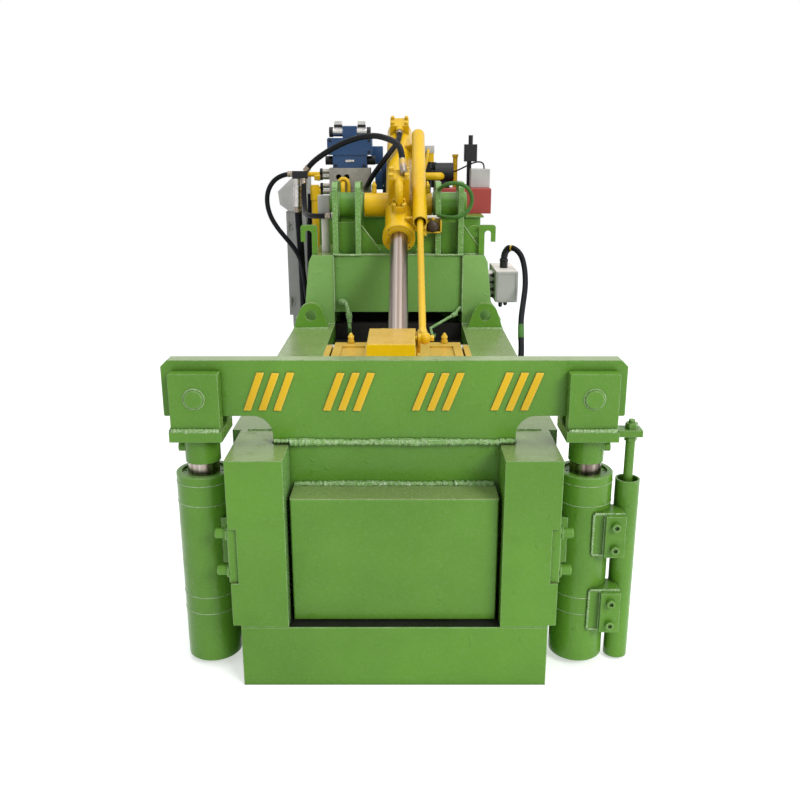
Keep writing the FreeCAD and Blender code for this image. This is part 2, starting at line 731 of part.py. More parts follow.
def key_bolt(z):
    """A round-headed bolt with its washer, through the key into the column."""
    shank_start = (COLUMN_OUT - KEY_BOLT_GRIP, KEY_BOLT_Y, z)
    washer_start = (KEY_OUT, KEY_BOLT_Y, z)
    head_start = (KEY_OUT + KEY_WASHER_THICK, KEY_BOLT_Y, z)
    shank = bar(shank_start, (1, 0, 0), KEY_BOLT_R, KEY_OUT - shank_start[0] + KEY_WASHER_THICK)
    washer = bar(washer_start, (1, 0, 0), KEY_WASHER_R, KEY_WASHER_THICK)
    head = bar(head_start, (1, 0, 0), KEY_HEAD_R, KEY_HEAD_HEIGHT)
    rim = [e for e in head.Edges if e.BoundBox.XMin > head_start[0] + KEY_HEAD_HEIGHT - 1]
    return shank.fuse(washer).fuse(head.makeFillet(KEY_HEAD_R / 3, rim))


def clamp_screw(z):
    """A socket-head screw in a sensor clamp."""
    head = bar((CLAMP_SCREW_X, CLAMP_FRONT, z), (0, -1, 0), CLAMP_HEAD_R, CLAMP_HEAD_HEIGHT)
    shank = bar((CLAMP_SCREW_X, CLAMP_FRONT, z), (0, 1, 0), CLAMP_SCREW_R, CLAMP_SCREW_DEEP)
    socket_start = (CLAMP_SCREW_X, CLAMP_FRONT - CLAMP_HEAD_HEIGHT, z)
    socket = hexagon(socket_start, (0, 1, 0), CLAMP_SOCKET_R * 2, CLAMP_SOCKET_DEEP)
    return head.fuse(shank).cut(socket)


def clamp_screw_heights():
    return [c + s * CLAMP_SCREW_PITCH / 2 for c in CLAMP_CENTRES for s in (-1, 1)]


def frame_bolts():
    key_bolts = [key_bolt(z) for z in (KEY_BOLT_LOW, KEY_BOLT_HIGH)]
    clamp_screws = [clamp_screw(z) for z in clamp_screw_heights()]
    return group(key_bolts + [mirrored(b) for b in key_bolts] + clamp_screws)


# ---------------------------------------------------------------- gate
def gate_panel():
    """The gate's plate with its side wings, and the thick block that fills the mouth."""
    low = SILL_TOP + GATE_LIFT_GAP
    plate_rear = GATE_PLATE_FRONT + GATE_PLATE_THICK
    plate = box(-GATE_WING_HALF, GATE_WING_HALF, GATE_PLATE_FRONT, plate_rear, low, BEAM_FOOT)
    block = box(-GATE_BLOCK_HALF, GATE_BLOCK_HALF, GATE_BLOCK_FRONT, GATE_PLATE_FRONT, low, GATE_BLOCK_TOP)
    front = [e for e in block.Edges if e.BoundBox.YMax < GATE_BLOCK_FRONT + 1]
    return plate.fuse(block.makeFillet(5.0, front))


def gate_beam():
    """The cross beam, with a deep middle that blends into the arms by concave arcs."""
    half = BEAM_THICK / 2
    arc_x = BEAM_FOOT_HALF + BEAM_ARC
    arc_z = BEAM_LOW - BEAM_ARC
    diagonal = BEAM_ARC * math.sqrt(0.5)

    def point(x, z):
        return V(x, -half, z)

    def right_half():
        corner = BEAM_HALF - BEAM_LOW_ROUND
        nick = BEAM_LOW_ROUND * math.sqrt(0.5)
        round_mid = point(corner + nick, BEAM_LOW + BEAM_LOW_ROUND - nick)
        return [
            Part.LineSegment(point(0, BEAM_FOOT), point(BEAM_FOOT_HALF, BEAM_FOOT)).toShape(),
            Part.LineSegment(point(BEAM_FOOT_HALF, BEAM_FOOT), point(BEAM_FOOT_HALF, arc_z)).toShape(),
            Part.Arc(
                point(BEAM_FOOT_HALF, arc_z), point(arc_x - diagonal, arc_z + diagonal), point(arc_x, BEAM_LOW)
            ).toShape(),
            Part.LineSegment(point(arc_x, BEAM_LOW), point(corner, BEAM_LOW)).toShape(),
            Part.Arc(point(corner, BEAM_LOW), round_mid, point(BEAM_HALF, BEAM_LOW + BEAM_LOW_ROUND)).toShape(),
            Part.LineSegment(
                point(BEAM_HALF, BEAM_LOW + BEAM_LOW_ROUND), point(BEAM_HALF, BEAM_TOP - BEAM_CHAMFER)
            ).toShape(),
            Part.LineSegment(
                point(BEAM_HALF, BEAM_TOP - BEAM_CHAMFER), point(BEAM_HALF - BEAM_CHAMFER, BEAM_TOP)
            ).toShape(),
            Part.LineSegment(point(BEAM_HALF - BEAM_CHAMFER, BEAM_TOP), point(0, BEAM_TOP)).toShape(),
            Part.LineSegment(point(0, BEAM_TOP), point(0, BEAM_FOOT)).toShape(),
        ]

    side = outline_face(right_half()).extrude(V(0, BEAM_THICK, 0))
    solid = side.fuse(mirrored(side)).removeSplitter()
    for x in (-CYL_X, CYL_X):
        hole = bar((x, -half - 1, CLEVIS_PIN_Z), (0, 1, 0), CLEVIS_PIN_R + PIN_HOLE_GAP, BEAM_THICK + 2)
        solid = solid.cut(hole)
    return solid


def clevis():
    """The fork on top of the right gate rod, either side of the beam."""
    base_top = CLEVIS_BASE_LOW + CLEVIS_BASE_THICK
    left = CYL_X - CLEVIS_BASE_HALF_X
    right = CYL_X + CLEVIS_BASE_HALF_X
    solid = box(left, right, -CLEVIS_BASE_HALF_Y, CLEVIS_BASE_HALF_Y, CLEVIS_BASE_LOW, base_top)
    inner = BEAM_THICK / 2 + CLEVIS_EAR_GAP
    for y0 in (-inner - CLEVIS_EAR_THICK, inner):
        ear = box(
            CYL_X - CLEVIS_EAR_HALF, CYL_X + CLEVIS_EAR_HALF, y0, y0 + CLEVIS_EAR_THICK, base_top, CLEVIS_EAR_TOP
        )
        upright = [e for e in ear.Edges if e.BoundBox.ZMin > CLEVIS_EAR_TOP - 1 and e.BoundBox.XLength < 1]
        solid = solid.fuse(ear.makeFillet(4.0, upright))
    reach = CLEVIS_BASE_HALF_Y * 2
    hole = bar((CYL_X, -CLEVIS_BASE_HALF_Y, CLEVIS_PIN_Z), (0, 1, 0), CLEVIS_PIN_R + PIN_HOLE_GAP, reach)
    return solid.cut(hole)


def clevis_pins():
    pin = bar((CYL_X, -CLEVIS_PIN_HALF, CLEVIS_PIN_Z), (0, 1, 0), CLEVIS_PIN_R, CLEVIS_PIN_HALF * 2)
    pin = pin.makeChamfer(3.0, [e for e in pin.Edges if e.BoundBox.YLength < 1])
    return group([pin, mirrored(pin)])


def gate_rod():
    """The right gate cylinder's chromed rod and its piston."""
    shaft = bar((CYL_X, 0, PISTON_LOW), (0, 0, 1), GATE_ROD_R, CLEVIS_BASE_LOW - PISTON_LOW)
    piston = bar((CYL_X, 0, PISTON_LOW), (0, 0, 1), BARREL_BORE_R - RUN_GAP, PISTON_HEIGHT)
    return shaft.fuse(piston)


def rod_collars():
    """The rings under the forks, each with a round stub on its outer side."""
    height = CLEVIS_BASE_LOW - COLLAR_LOW
    middle = COLLAR_LOW + height / 2
    ring = bar((CYL_X, 0, COLLAR_LOW), (0, 0, 1), COLLAR_R, height)
    stub = bar((CYL_X, 0, middle), (1, 0, 0), COLLAR_STUB_R, COLLAR_R + COLLAR_STUB_OUT)
    collar = ring.fuse(stub).cut(bar((CYL_X, 0, COLLAR_LOW), (0, 0, 1), GATE_ROD_R, height))
    return group([collar, mirrored(collar)])


# ---------------------------------------------------------------- gate cylinders
def gate_cylinder():
    """The right gate cylinder's barrel, closed below, with two ports at the rear."""
    solid = bar((CYL_X, 0, BARREL_BOTTOM), (0, 0, 1), BARREL_R, BARREL_TOP - BARREL_BOTTOM)
    rims = [e for e in solid.Edges if e.BoundBox.ZLength < 1]
    solid = solid.makeChamfer(3.0, rims)
    for z in (PORT_LOW_Z, PORT_HIGH_Z):
        solid = solid.fuse(bar((CYL_X, 0, z), (0, 1, 0), PORT_BOSS_R, BARREL_R + PORT_BOSS_OUT))
    bore_low = BARREL_BOTTOM + BARREL_CAP
    solid = solid.cut(bar((CYL_X, 0, bore_low), (0, 0, 1), BARREL_BORE_R, BARREL_TOP))
    for z in (PORT_LOW_Z, PORT_HIGH_Z):
        solid = solid.cut(bar((CYL_X, 0, z), (0, 1, 0), PORT_HOLE_R, BARREL_R + PORT_BOSS_OUT + 1))
    return solid


def gate_glands():
    """The screwed-in guide rings, with spanner holes, flush inside the barrels."""
    ring = pipe_ring(
        (CYL_X, 0, GLAND_LOW), (0, 0, 1), BARREL_BORE_R - RUN_GAP, GATE_ROD_R + RUN_GAP, GLAND_TOP - GLAND_LOW
    )
    hole_circle = (BARREL_BORE_R + GATE_ROD_R) / 2
    for side in (-1, 1):
        start = (CYL_X + side * hole_circle, 0, GLAND_TOP - SPANNER_HOLE_DEEP)
        ring = ring.cut(bar(start, (0, 0, 1), SPANNER_HOLE_R, SPANNER_HOLE_DEEP + 1))
    return group([ring, mirrored(ring)])


# ---------------------------------------------------------------- gate sensor
def sensor_tube():
    """The guard tube beside the right cylinder, closed below."""
    length = SENSOR_TUBE_TOP - SENSOR_TUBE_LOW
    tube = bar((SENSOR_X, SENSOR_Y, SENSOR_TUBE_LOW), (0, 0, 1), SENSOR_TUBE_R, length)
    inner_low = SENSOR_TUBE_LOW + SENSOR_TUBE_WALL
    return tube.cut(bar((SENSOR_X, SENSOR_Y, inner_low), (0, 0, 1), SENSOR_TUBE_R - SENSOR_TUBE_WALL, length))


def sensor_clamps():
    """Two stepped blocks between the cylinder and the guard tube, each with two screws."""
    blocks = []
    for centre in CLAMP_CENTRES:
        low = centre - CLAMP_HEIGHT / 2
        high = low + CLAMP_HEIGHT
        base = box(CLAMP_BASE_LEFT, CLAMP_RIGHT, CLAMP_BASE_FRONT, CLAMP_BACK, low, high)
        block = base.fuse(box(CLAMP_LEFT, CLAMP_RIGHT, CLAMP_FRONT, CLAMP_BASE_FRONT, low, high))
        block = block.cut(bar((CYL_X, 0, low), (0, 0, 1), BARREL_R, CLAMP_HEIGHT))
        block = block.cut(bar((SENSOR_X, SENSOR_Y, low), (0, 0, 1), SENSOR_TUBE_R, CLAMP_HEIGHT))
        for z in clamp_screw_heights():
            hole_start = (CLAMP_SCREW_X, CLAMP_FRONT, z)
            block = block.cut(bar(hole_start, (0, 1, 0), CLAMP_SCREW_R, CLAMP_SCREW_DEEP))
        blocks.append(block)
    return group(blocks)


def sensor_rod():
    """The trigger rod, hung from a lug on the right fork between two nuts."""
    nut_top = LUG_LOW + LUG_THICK + NUT_HEIGHT
    rod = bar((SENSOR_X, SENSOR_Y, SENSOR_ROD_LOW), (0, 0, 1), SENSOR_ROD_R, LUG_LOW - SENSOR_ROD_LOW)
    tip = bar((SENSOR_X, SENSOR_Y, nut_top), (0, 0, 1), SENSOR_TIP_R, SENSOR_ROD_TOP - nut_top)
    lug_start = CYL_X + CLEVIS_BASE_HALF_X
    lug_top = LUG_LOW + LUG_THICK
    lug = box(lug_start, LUG_END_X, SENSOR_Y - LUG_HALF_Y, SENSOR_Y + LUG_HALF_Y, LUG_LOW, lug_top)
    solid = rod.fuse(lug).fuse(tip)
    for z in (LUG_LOW - NUT_HEIGHT, LUG_LOW + LUG_THICK):
        solid = solid.fuse(hexagon((SENSOR_X, SENSOR_Y, z), (0, 0, 1), NUT_ACROSS, NUT_HEIGHT))
    return solid


# ---------------------------------------------------------------- chamber
def side_wall():
    """The right wall, a closed box section, with a lifting lug on top and the hinge shaft's seat."""
    wall = box(WALL_IN, WALL_OUT, WALL_FRONT, WALL_REAR, 0, FRAME_TOP)
    inside = box(
        WALL_IN + WALL_PLATE, WALL_OUT - WALL_PLATE / 2, WALL_FRONT + WALL_PLATE, WALL_REAR - WALL_PLATE,
        WALL_PLATE, FRAME_TOP - WALL_PLATE,
    )
    lug_centre = WALL_OUT - LIFT_LUG_HALF
    lug_front = LUG_EYE_Y - LIFT_LUG_THICK / 2
    lug_rear = LUG_EYE_Y + LIFT_LUG_THICK / 2
    rise = LUG_EYE_Z - FRAME_TOP
    slope = math.acos(LIFT_LUG_ROUND / math.hypot(LIFT_LUG_HALF, rise)) + math.atan2(-rise, LIFT_LUG_HALF)
    side_x = LIFT_LUG_ROUND * math.cos(slope)
    side_z = LUG_EYE_Z + LIFT_LUG_ROUND * math.sin(slope)
    web = plate_xz(
        [
            (lug_centre - LIFT_LUG_HALF, FRAME_TOP), (lug_centre + LIFT_LUG_HALF, FRAME_TOP),
            (lug_centre + side_x, side_z), (lug_centre - side_x, side_z),
        ],
        lug_front, lug_rear,
    )
    head = bar((lug_centre, lug_front, LUG_EYE_Z), (0, 1, 0), LIFT_LUG_ROUND, LIFT_LUG_THICK)
    eye = bar((lug_centre, lug_front - 1, LUG_EYE_Z), (0, 1, 0), LUG_EYE_R, LIFT_LUG_THICK + 2)
    seat = bar((WALL_IN - 1, HINGE_Y, HINGE_Z), (1, 0, 0), HINGE_SHAFT_R, HINGE_SHAFT_IN_WALL + 1)
    return wall.cut(inside).fuse(web.fuse(head).cut(eye)).cut(seat)


def chamber_floor():
    """The wear plate under the ram, on three long ribs."""
    plate = box(-WALL_IN, WALL_IN, WALL_FRONT, WALL_REAR, SILL_TOP - FLOOR_PLATE, SILL_TOP)
    solid = plate
    ribs = int(WALL_IN / FLOOR_RIB_PITCH)
    for k in range(-ribs, ribs + 1):
        x = k * FLOOR_RIB_PITCH - FLOOR_RIB_THICK / 2
        solid = solid.fuse(box(x, x + FLOOR_RIB_THICK, WALL_FRONT, WALL_REAR, 0, SILL_TOP - FLOOR_PLATE))
    return solid.removeSplitter()


def wall_liners():
    liner = box(WALL_IN - LINER_THICK, WALL_IN, WALL_FRONT, WALL_FRONT + LINER_LENGTH, LINER_LOW, FRAME_TOP)
    return group([liner, mirrored(liner)])


def thrust_plate():
    """The cross plate behind the chamber that the main cylinder pushes against."""
    plate = box(-WALL_IN, WALL_IN, THRUST_Y, THRUST_Y + THRUST_THICK, SILL_TOP, FRAME_TOP)
    return plate.cut(bar((0, THRUST_Y - 1, RAM_AXIS_Z), (0, 1, 0), RAM_ROD_R + SLIDE_GAP, THRUST_THICK + 2))


# ---------------------------------------------------------------- lid
def lid_plate():
    """The lid, with its rear edge rounded about the hinge shaft, sunk panels and the rod's two ears."""
    low = FRAME_TOP - LID_THICK
    plate = box(-LID_HALF, LID_HALF, LID_FRONT_Y, HINGE_Y, low, FRAME_TOP)
    nose = bar((-LID_HALF, HINGE_Y, HINGE_Z), (1, 0, 0), LID_THICK / 2, LID_HALF * 2)
    solid = plate.fuse(nose)
    panel_ends = (LID_FRONT_Y + LID_PANEL_RIM, HINGE_Y - LID_PANEL_RIM * 2)
    spans = (
        (-LID_HALF + LID_PANEL_RIM, BLOCK_LEFT - LID_PANEL_RIM),
        (BLOCK_RIGHT + LID_PANEL_RIM * 2, LID_HALF - LID_PANEL_RIM),
    )
    for x0, x1 in spans:
        panel_low = FRAME_TOP - LID_PANEL_DEEP
        solid = solid.cut(box(x0, x1, panel_ends[0], panel_ends[1], panel_low, FRAME_TOP + 1))
    for x in (-LID_NIPPLE_X, LID_NIPPLE_X):
        nipple_height = LID_THICK / 2 + LID_NIPPLE_HEIGHT
        solid = solid.fuse(bar((x, LID_NIPPLE_Y, HINGE_Z), (0, 0, 1), LID_NIPPLE_R, nipple_height))
        tip_z = FRAME_TOP + LID_NIPPLE_HEIGHT
        solid = solid.fuse(bar((x, LID_NIPPLE_Y, tip_z), (0, 0, 1), LID_NIPPLE_TIP_R, LID_NIPPLE_TIP))
    for x0 in ear_starts():
        foot = [
            (EYE_POINT.y - EAR_BASE_FRONT, FRAME_TOP), (EYE_POINT.y + EAR_BASE_REAR, FRAME_TOP),
            (EYE_POINT.y + EAR_ROUND, EYE_POINT.z), (EYE_POINT.y - EAR_ROUND, EYE_POINT.z),
        ]
        head = bar((x0, EYE_POINT.y, EYE_POINT.z), (1, 0, 0), EAR_ROUND, EAR_THICK)
        solid = solid.fuse(plate_yz(foot, x0, x0 + EAR_THICK).fuse(head))
    hole_start = LID_CYL_X - LID_EYE_HALF - EAR_GAP - EAR_THICK - 1
    hole_length = 2 * (LID_EYE_HALF + EAR_GAP + EAR_THICK + 1)
    solid = solid.cut(bar((hole_start, EYE_POINT.y, EYE_POINT.z), (1, 0, 0), EAR_HOLE_R, hole_length))
    shaft_hole = bar((-LID_HALF - 1, HINGE_Y, HINGE_Z), (1, 0, 0), HINGE_SHAFT_R + RUN_GAP, LID_HALF * 2 + 2)
    return solid.cut(shaft_hole)


def ear_starts():
    """The lower X of each ear, left then right."""
    inner = LID_EYE_HALF + EAR_GAP
    return (LID_CYL_X - inner - EAR_THICK, LID_CYL_X + inner)


def guard_block():
    """The hood in front of the rod eye, open towards it."""
    hood = box(BLOCK_LEFT, BLOCK_RIGHT, BLOCK_FRONT, BLOCK_REAR, FRAME_TOP, FRAME_TOP + BLOCK_HEIGHT)
    tops = [e for e in hood.Edges if e.BoundBox.ZMin > FRAME_TOP + BLOCK_HEIGHT - 1]
    hood = hood.makeFillet(4.0, tops)
    inside = box(
        BLOCK_LEFT + BLOCK_PLATE, BLOCK_RIGHT - BLOCK_PLATE, BLOCK_FRONT + BLOCK_PLATE, BLOCK_REAR + 1,
        FRAME_TOP - 1, FRAME_TOP + BLOCK_HEIGHT - BLOCK_PLATE,
    )
    return hood.cut(inside)


def hinge_shaft():
    reach = WALL_IN + HINGE_SHAFT_IN_WALL
    return bar((-reach, HINGE_Y, HINGE_Z), (1, 0, 0), HINGE_SHAFT_R, reach * 2)


# ---------------------------------------------------------------- lid cylinder
def port_block(start, end, height):
    """A block welded across the barrel, with four cap screws on its upper face."""
    x0 = LID_CYL_X - PORT_BLOCK_HALF
    x1 = LID_CYL_X + PORT_BLOCK_HALF
    solid = barrel_box(x0, x1, start, end, LID_BARREL_R / 2, height)
    for x in (x0 + PORT_SCREW_INSET, x1 - PORT_SCREW_INSET):
        for along in (start + PORT_SCREW_INSET, end - PORT_SCREW_INSET):
            head = Part.makeCylinder(PORT_SCREW_R, PORT_SCREW_HEIGHT, on_barrel(x, along, height), SQUARE)
            solid = solid.fuse(head)
    return solid


def front_elbow():
    """The bent pipe from the barrel's flange up to the front port block."""
    flange = Part.makeCylinder(
        ELBOW_FLANGE_R, ELBOW_FLANGE_THICK + LID_BARREL_R / 2,
        on_barrel(LID_CYL_X, ELBOW_START, LID_BARREL_R / 2), SQUARE,
    )
    start = on_barrel(LID_CYL_X, ELBOW_START, LID_BARREL_R)
    upright = on_barrel(LID_CYL_X, ELBOW_START, ELBOW_HEIGHT)
    bend_mid = on_barrel(
        LID_CYL_X, ELBOW_START + ELBOW_BEND * (1 - math.sqrt(0.5)), ELBOW_HEIGHT + ELBOW_BEND * math.sqrt(0.5)
    )
    bend_end = on_barrel(LID_CYL_X, ELBOW_START + ELBOW_BEND, ELBOW_HEIGHT + ELBOW_BEND)
    into_block = on_barrel(LID_CYL_X, FRONT_BLOCK[0] + 5, ELBOW_HEIGHT + ELBOW_BEND)
    path = Part.Wire([
        Part.LineSegment(start, upright).toShape(),
        Part.Arc(upright, bend_mid, bend_end).toShape(),
        Part.LineSegment(bend_end, into_block).toShape(),
    ])
    circle = Part.Wire(Part.Circle(start, SQUARE, ELBOW_R).toShape())
    return flange.fuse(path.makePipeShell([circle], True, False))


def lid_cylinder():
    """The barrel with its trunnions, port blocks and the straps for the sensor tube."""
    solid = Part.makeCylinder(LID_BARREL_R, LID_BARREL_LENGTH, GLAND_POINT, ALONG)
    solid = solid.fuse(Part.makeCylinder(LID_FLANGE_R, LID_FLANGE_LENGTH, GLAND_POINT, ALONG))
    arm = bar((-TRUNNION_ARM_END, TRUNNION_Y, TRUNNION_Z), (1, 0, 0), TRUNNION_ARM_R, TRUNNION_ARM_END * 2)
    pins = bar((-TRUNNION_PIN_END, TRUNNION_Y, TRUNNION_Z), (1, 0, 0), TRUNNION_PIN_R, TRUNNION_PIN_END * 2)
    solid = solid.fuse(arm).fuse(pins)
    solid = solid.fuse(port_block(*FRONT_BLOCK)).fuse(port_block(*REAR_BLOCK)).fuse(front_elbow())
    face_fitting = Part.makeCylinder(
        FITTING_R, FITTING_LENGTH, on_barrel(LID_CYL_X, REAR_BLOCK[0], rear_port_height()), ALONG * -1
    )
    solid = solid.fuse(arch_elbow()).fuse(face_fitting)
    tube_line = LID_SENSOR_OFF - LID_SENSOR_TUBE_R * 0.6
    for along in SENSOR_STRAPS:
        strap = barrel_box(
            LID_CYL_X + LID_BARREL_R * 0.5, LID_SENSOR_X, along, along + SENSOR_STRAP_THICK, 0, tube_line
        )
        solid = solid.fuse(strap)
    solid = solid.cut(sensor_bar(LID_SENSOR_TUBE_R, -1, LID_SENSOR_TUBE_LENGTH + 1))
    for side in (-1, 1):
        across = side * FLANGE_HOLE_CIRCLE
        side_x = LID_CYL_X + across * math.cos(FLANGE_HOLE_TURN)
        start = on_barrel(side_x, -1, across * math.sin(FLANGE_HOLE_TURN))
        solid = solid.cut(Part.makeCylinder(SPANNER_HOLE_R, SPANNER_HOLE_DEEP + 1, start, ALONG))
    gland_seat = Part.makeCylinder(LID_GLAND_R, LID_GLAND_LENGTH, GLAND_POINT, ALONG)
    bore = Part.makeCylinder(LID_BORE_R, LID_BARREL_LENGTH - LID_CAP, GLAND_POINT, ALONG)
    return solid.cut(gland_seat).cut(bore)


def rear_port_height():
    return (LID_BARREL_R + REAR_BLOCK[2]) / 2


def sensor_bar(radius, start, end):
    """A round bar along the lid sensor's line."""
    return Part.makeCylinder(radius, end - start, on_barrel(LID_SENSOR_X, start, LID_SENSOR_OFF), ALONG)


def lid_gland():
    """The ring that guides the lid cylinder's rod, with two spanner holes."""
    ring = Part.makeCylinder(LID_GLAND_R, LID_GLAND_LENGTH, GLAND_POINT, ALONG)
    ring = ring.cut(Part.makeCylinder(LID_ROD_R + RUN_GAP, LID_GLAND_LENGTH, GLAND_POINT, ALONG))
    circle = (LID_GLAND_R + LID_ROD_R) / 2
    for side in (-1, 1):
        start = on_barrel(LID_CYL_X + side * circle * 0.9, -1, -side * circle * 0.43)
        ring = ring.cut(Part.makeCylinder(SPANNER_HOLE_R, SPANNER_HOLE_DEEP + 1, start, ALONG))
    return ring


def lid_sensor_tube():
    tube = sensor_bar(LID_SENSOR_TUBE_R, 0, LID_SENSOR_TUBE_LENGTH)
    hollow = LID_SENSOR_TUBE_LENGTH - LID_SENSOR_TUBE_WALL
    return tube.cut(sensor_bar(LID_SENSOR_TUBE_R - LID_SENSOR_TUBE_WALL, -1, hollow))


def lid_rod():
    """The lid cylinder's rod, with its eye and its piston."""
    piston_end = LID_PISTON_START + LID_PISTON_LENGTH
    eye_along = GLAND_FACE - EYE_DISTANCE
    rod = Part.makeCylinder(LID_ROD_R, piston_end - eye_along, EYE_POINT, ALONG)
    piston_start = on_barrel(LID_CYL_X, LID_PISTON_START, 0)
    piston = Part.makeCylinder(LID_BORE_R - RUN_GAP, LID_PISTON_LENGTH, piston_start, ALONG)
    eye_x = LID_CYL_X - LID_EYE_HALF
    eye = bar((eye_x, EYE_POINT.y, EYE_POINT.z), (1, 0, 0), LID_EYE_R, LID_EYE_HALF * 2)
    hole = bar((eye_x - 1, EYE_POINT.y, EYE_POINT.z), (1, 0, 0), LID_PIN_R, LID_EYE_HALF * 2 + 2)
    return rod.fuse(piston).fuse(eye).cut(hole)


def lid_pin():
    """The rod's pin, with a keeper washer outside each ear."""
    ear_out = LID_EYE_HALF + EAR_GAP + EAR_THICK + KEEPER_GAP
    left = LID_CYL_X - ear_out - KEEPER_THICK
    right = LID_SENSOR_X - SENSOR_EYE_THICK / 2
    solid = bar((left, EYE_POINT.y, EYE_POINT.z), (1, 0, 0), LID_PIN_R, right - left)
    for x in (left, LID_CYL_X + ear_out):
        solid = solid.fuse(bar((x, EYE_POINT.y, EYE_POINT.z), (1, 0, 0), KEEPER_R, KEEPER_THICK))
    return solid


def lid_sensor_rod():
    """The sensor's rod with its eye, and the arm that ties it to the lid cylinder's pin."""
    eye_along = GLAND_FACE - EYE_DISTANCE - SENSOR_EYE_REACH
    eye_centre = on_barrel(LID_SENSOR_X, eye_along, LID_SENSOR_OFF)
    rod = sensor_bar(LID_SENSOR_ROD_R, eye_along, LID_SENSOR_ROD_IN)
    eye_x = LID_SENSOR_X - SENSOR_EYE_THICK / 2
    eye = bar((eye_x, eye_centre.y, eye_centre.z), (1, 0, 0), SENSOR_EYE_R, SENSOR_EYE_THICK)
    arm_x = eye_x - SENSOR_ARM_THICK
    root = bar((arm_x, EYE_POINT.y, EYE_POINT.z), (1, 0, 0), SENSOR_ARM_ROOT_R, SENSOR_ARM_THICK)
    tip = bar((arm_x, eye_centre.y, eye_centre.z), (1, 0, 0), SENSOR_EYE_R, SENSOR_ARM_THICK)
    reach = V(0, eye_centre.y - EYE_POINT.y, eye_centre.z - EYE_POINT.z)
    across = V(0, -reach.z, reach.y).normalize()
    ends = [
        EYE_POINT + across * SENSOR_EYE_R, EYE_POINT - across * SENSOR_EYE_R,
        EYE_POINT + reach - across * SENSOR_EYE_R, EYE_POINT + reach + across * SENSOR_EYE_R,
    ]
    web = plate_yz([(p.y, p.z) for p in ends], arm_x, arm_x + SENSOR_ARM_THICK)
    arm = root.fuse(tip).fuse(web)
    arm = arm.cut(bar((arm_x - 1, EYE_POINT.y, EYE_POINT.z), (1, 0, 0), LID_PIN_R, SENSOR_ARM_THICK + 2))
    bolt = bar((arm_x - 10, eye_centre.y, eye_centre.z), (1, 0, 0), 8, SENSOR_ARM_THICK + SENSOR_EYE_THICK + 10)
    bolt_head = hexagon((eye_x + SENSOR_EYE_THICK, eye_centre.y, eye_centre.z), (1, 0, 0), 24, 10)
    return rod.fuse(eye).fuse(arm).fuse(bolt).fuse(bolt_head)


# ---------------------------------------------------------------- tower
def tower_wing_outline():
    return [
        (WALL_IN, FRAME_TOP), (WALL_OUT, FRAME_TOP), (WALL_OUT, TOWER_FOOT_TOP),
        (TOWER_SHOULDER_X, TOWER_SHOULDER_Z), (TOWER_HEAD_X, TOWER_HEAD_Z),
        (TOWER_HEAD_CUT_X, TOWER_TOP), (WALL_IN, TOWER_TOP),
    ]


def bearing_plate(x0):
    """An upright plate that holds the trunnion bearing, its upper front corner cut off."""
    front = TRUNNION_Y - BEARING_HALF_Y
    rear = TRUNNION_Y + BEARING_HALF_Y
    outline = [
        (front, TOWER_TOP), (rear, TOWER_TOP), (rear, BEARING_TOP - BEARING_CUT),
        (rear - BEARING_CUT, BEARING_TOP), (front + BEARING_CUT / 2, BEARING_TOP),
        (front, BEARING_TOP - BEARING_CUT / 2),
    ]
    plate = plate_yz(outline, x0, x0 + BEARING_PLATE)
    return plate.cut(bar((x0 - 1, TRUNNION_Y, TRUNNION_Z), (1, 0, 0), HOUSING_R, BEARING_PLATE + 2))


def gusset(x0, x1):
    """A triangular plate from x0, at the bearing plate, out to x1."""
    y0 = TRUNNION_Y - BEARING_HALF_Y + GUSSET_SETBACK
    outline = [(x0, TOWER_TOP), (x1, TOWER_TOP), (x1, TOWER_TOP + GUSSET_FOOT), (x0, GUSSET_TOP)]
    return plate_xz(outline, y0, y0 + GUSSET_THICK)


def hose_hook():
    """A flat hook that keeps hoses off the tower's edge."""
    leg_out = HOOK_LEG_X + HOOK_LEG_WIDTH
    tip_in = HOOK_TIP_X - HOOK_TIP_WIDTH
    throat = (tip_in - leg_out) / 2
    throat_x = (tip_in + leg_out) / 2
    throat_z = HOOK_TOP - HOOK_LEG_WIDTH - throat
    plate = box(HOOK_LEG_X, HOOK_TIP_X, HOOK_Y, HOOK_Y + HOOK_THICK, TOWER_TOP, HOOK_TOP)
    corners = [e for e in plate.Edges if e.BoundBox.ZMin > HOOK_TOP - 1 and e.BoundBox.XLength < 1]
    plate = plate.makeFillet(HOOK_LEG_WIDTH / 2, corners)
    opening = box(leg_out, tip_in, HOOK_Y - 1, HOOK_Y + HOOK_THICK + 1, TOWER_TOP - 1, throat_z)
    opening = opening.fuse(bar((throat_x, HOOK_Y - 1, throat_z), (0, 1, 0), throat, HOOK_THICK + 2))
    below_tip = box(leg_out, HOOK_TIP_X + 1, HOOK_Y - 1, HOOK_Y + HOOK_THICK + 1, TOWER_TOP - 1, HOOK_TIP_Z)
    return plate.cut(opening).cut(below_tip)


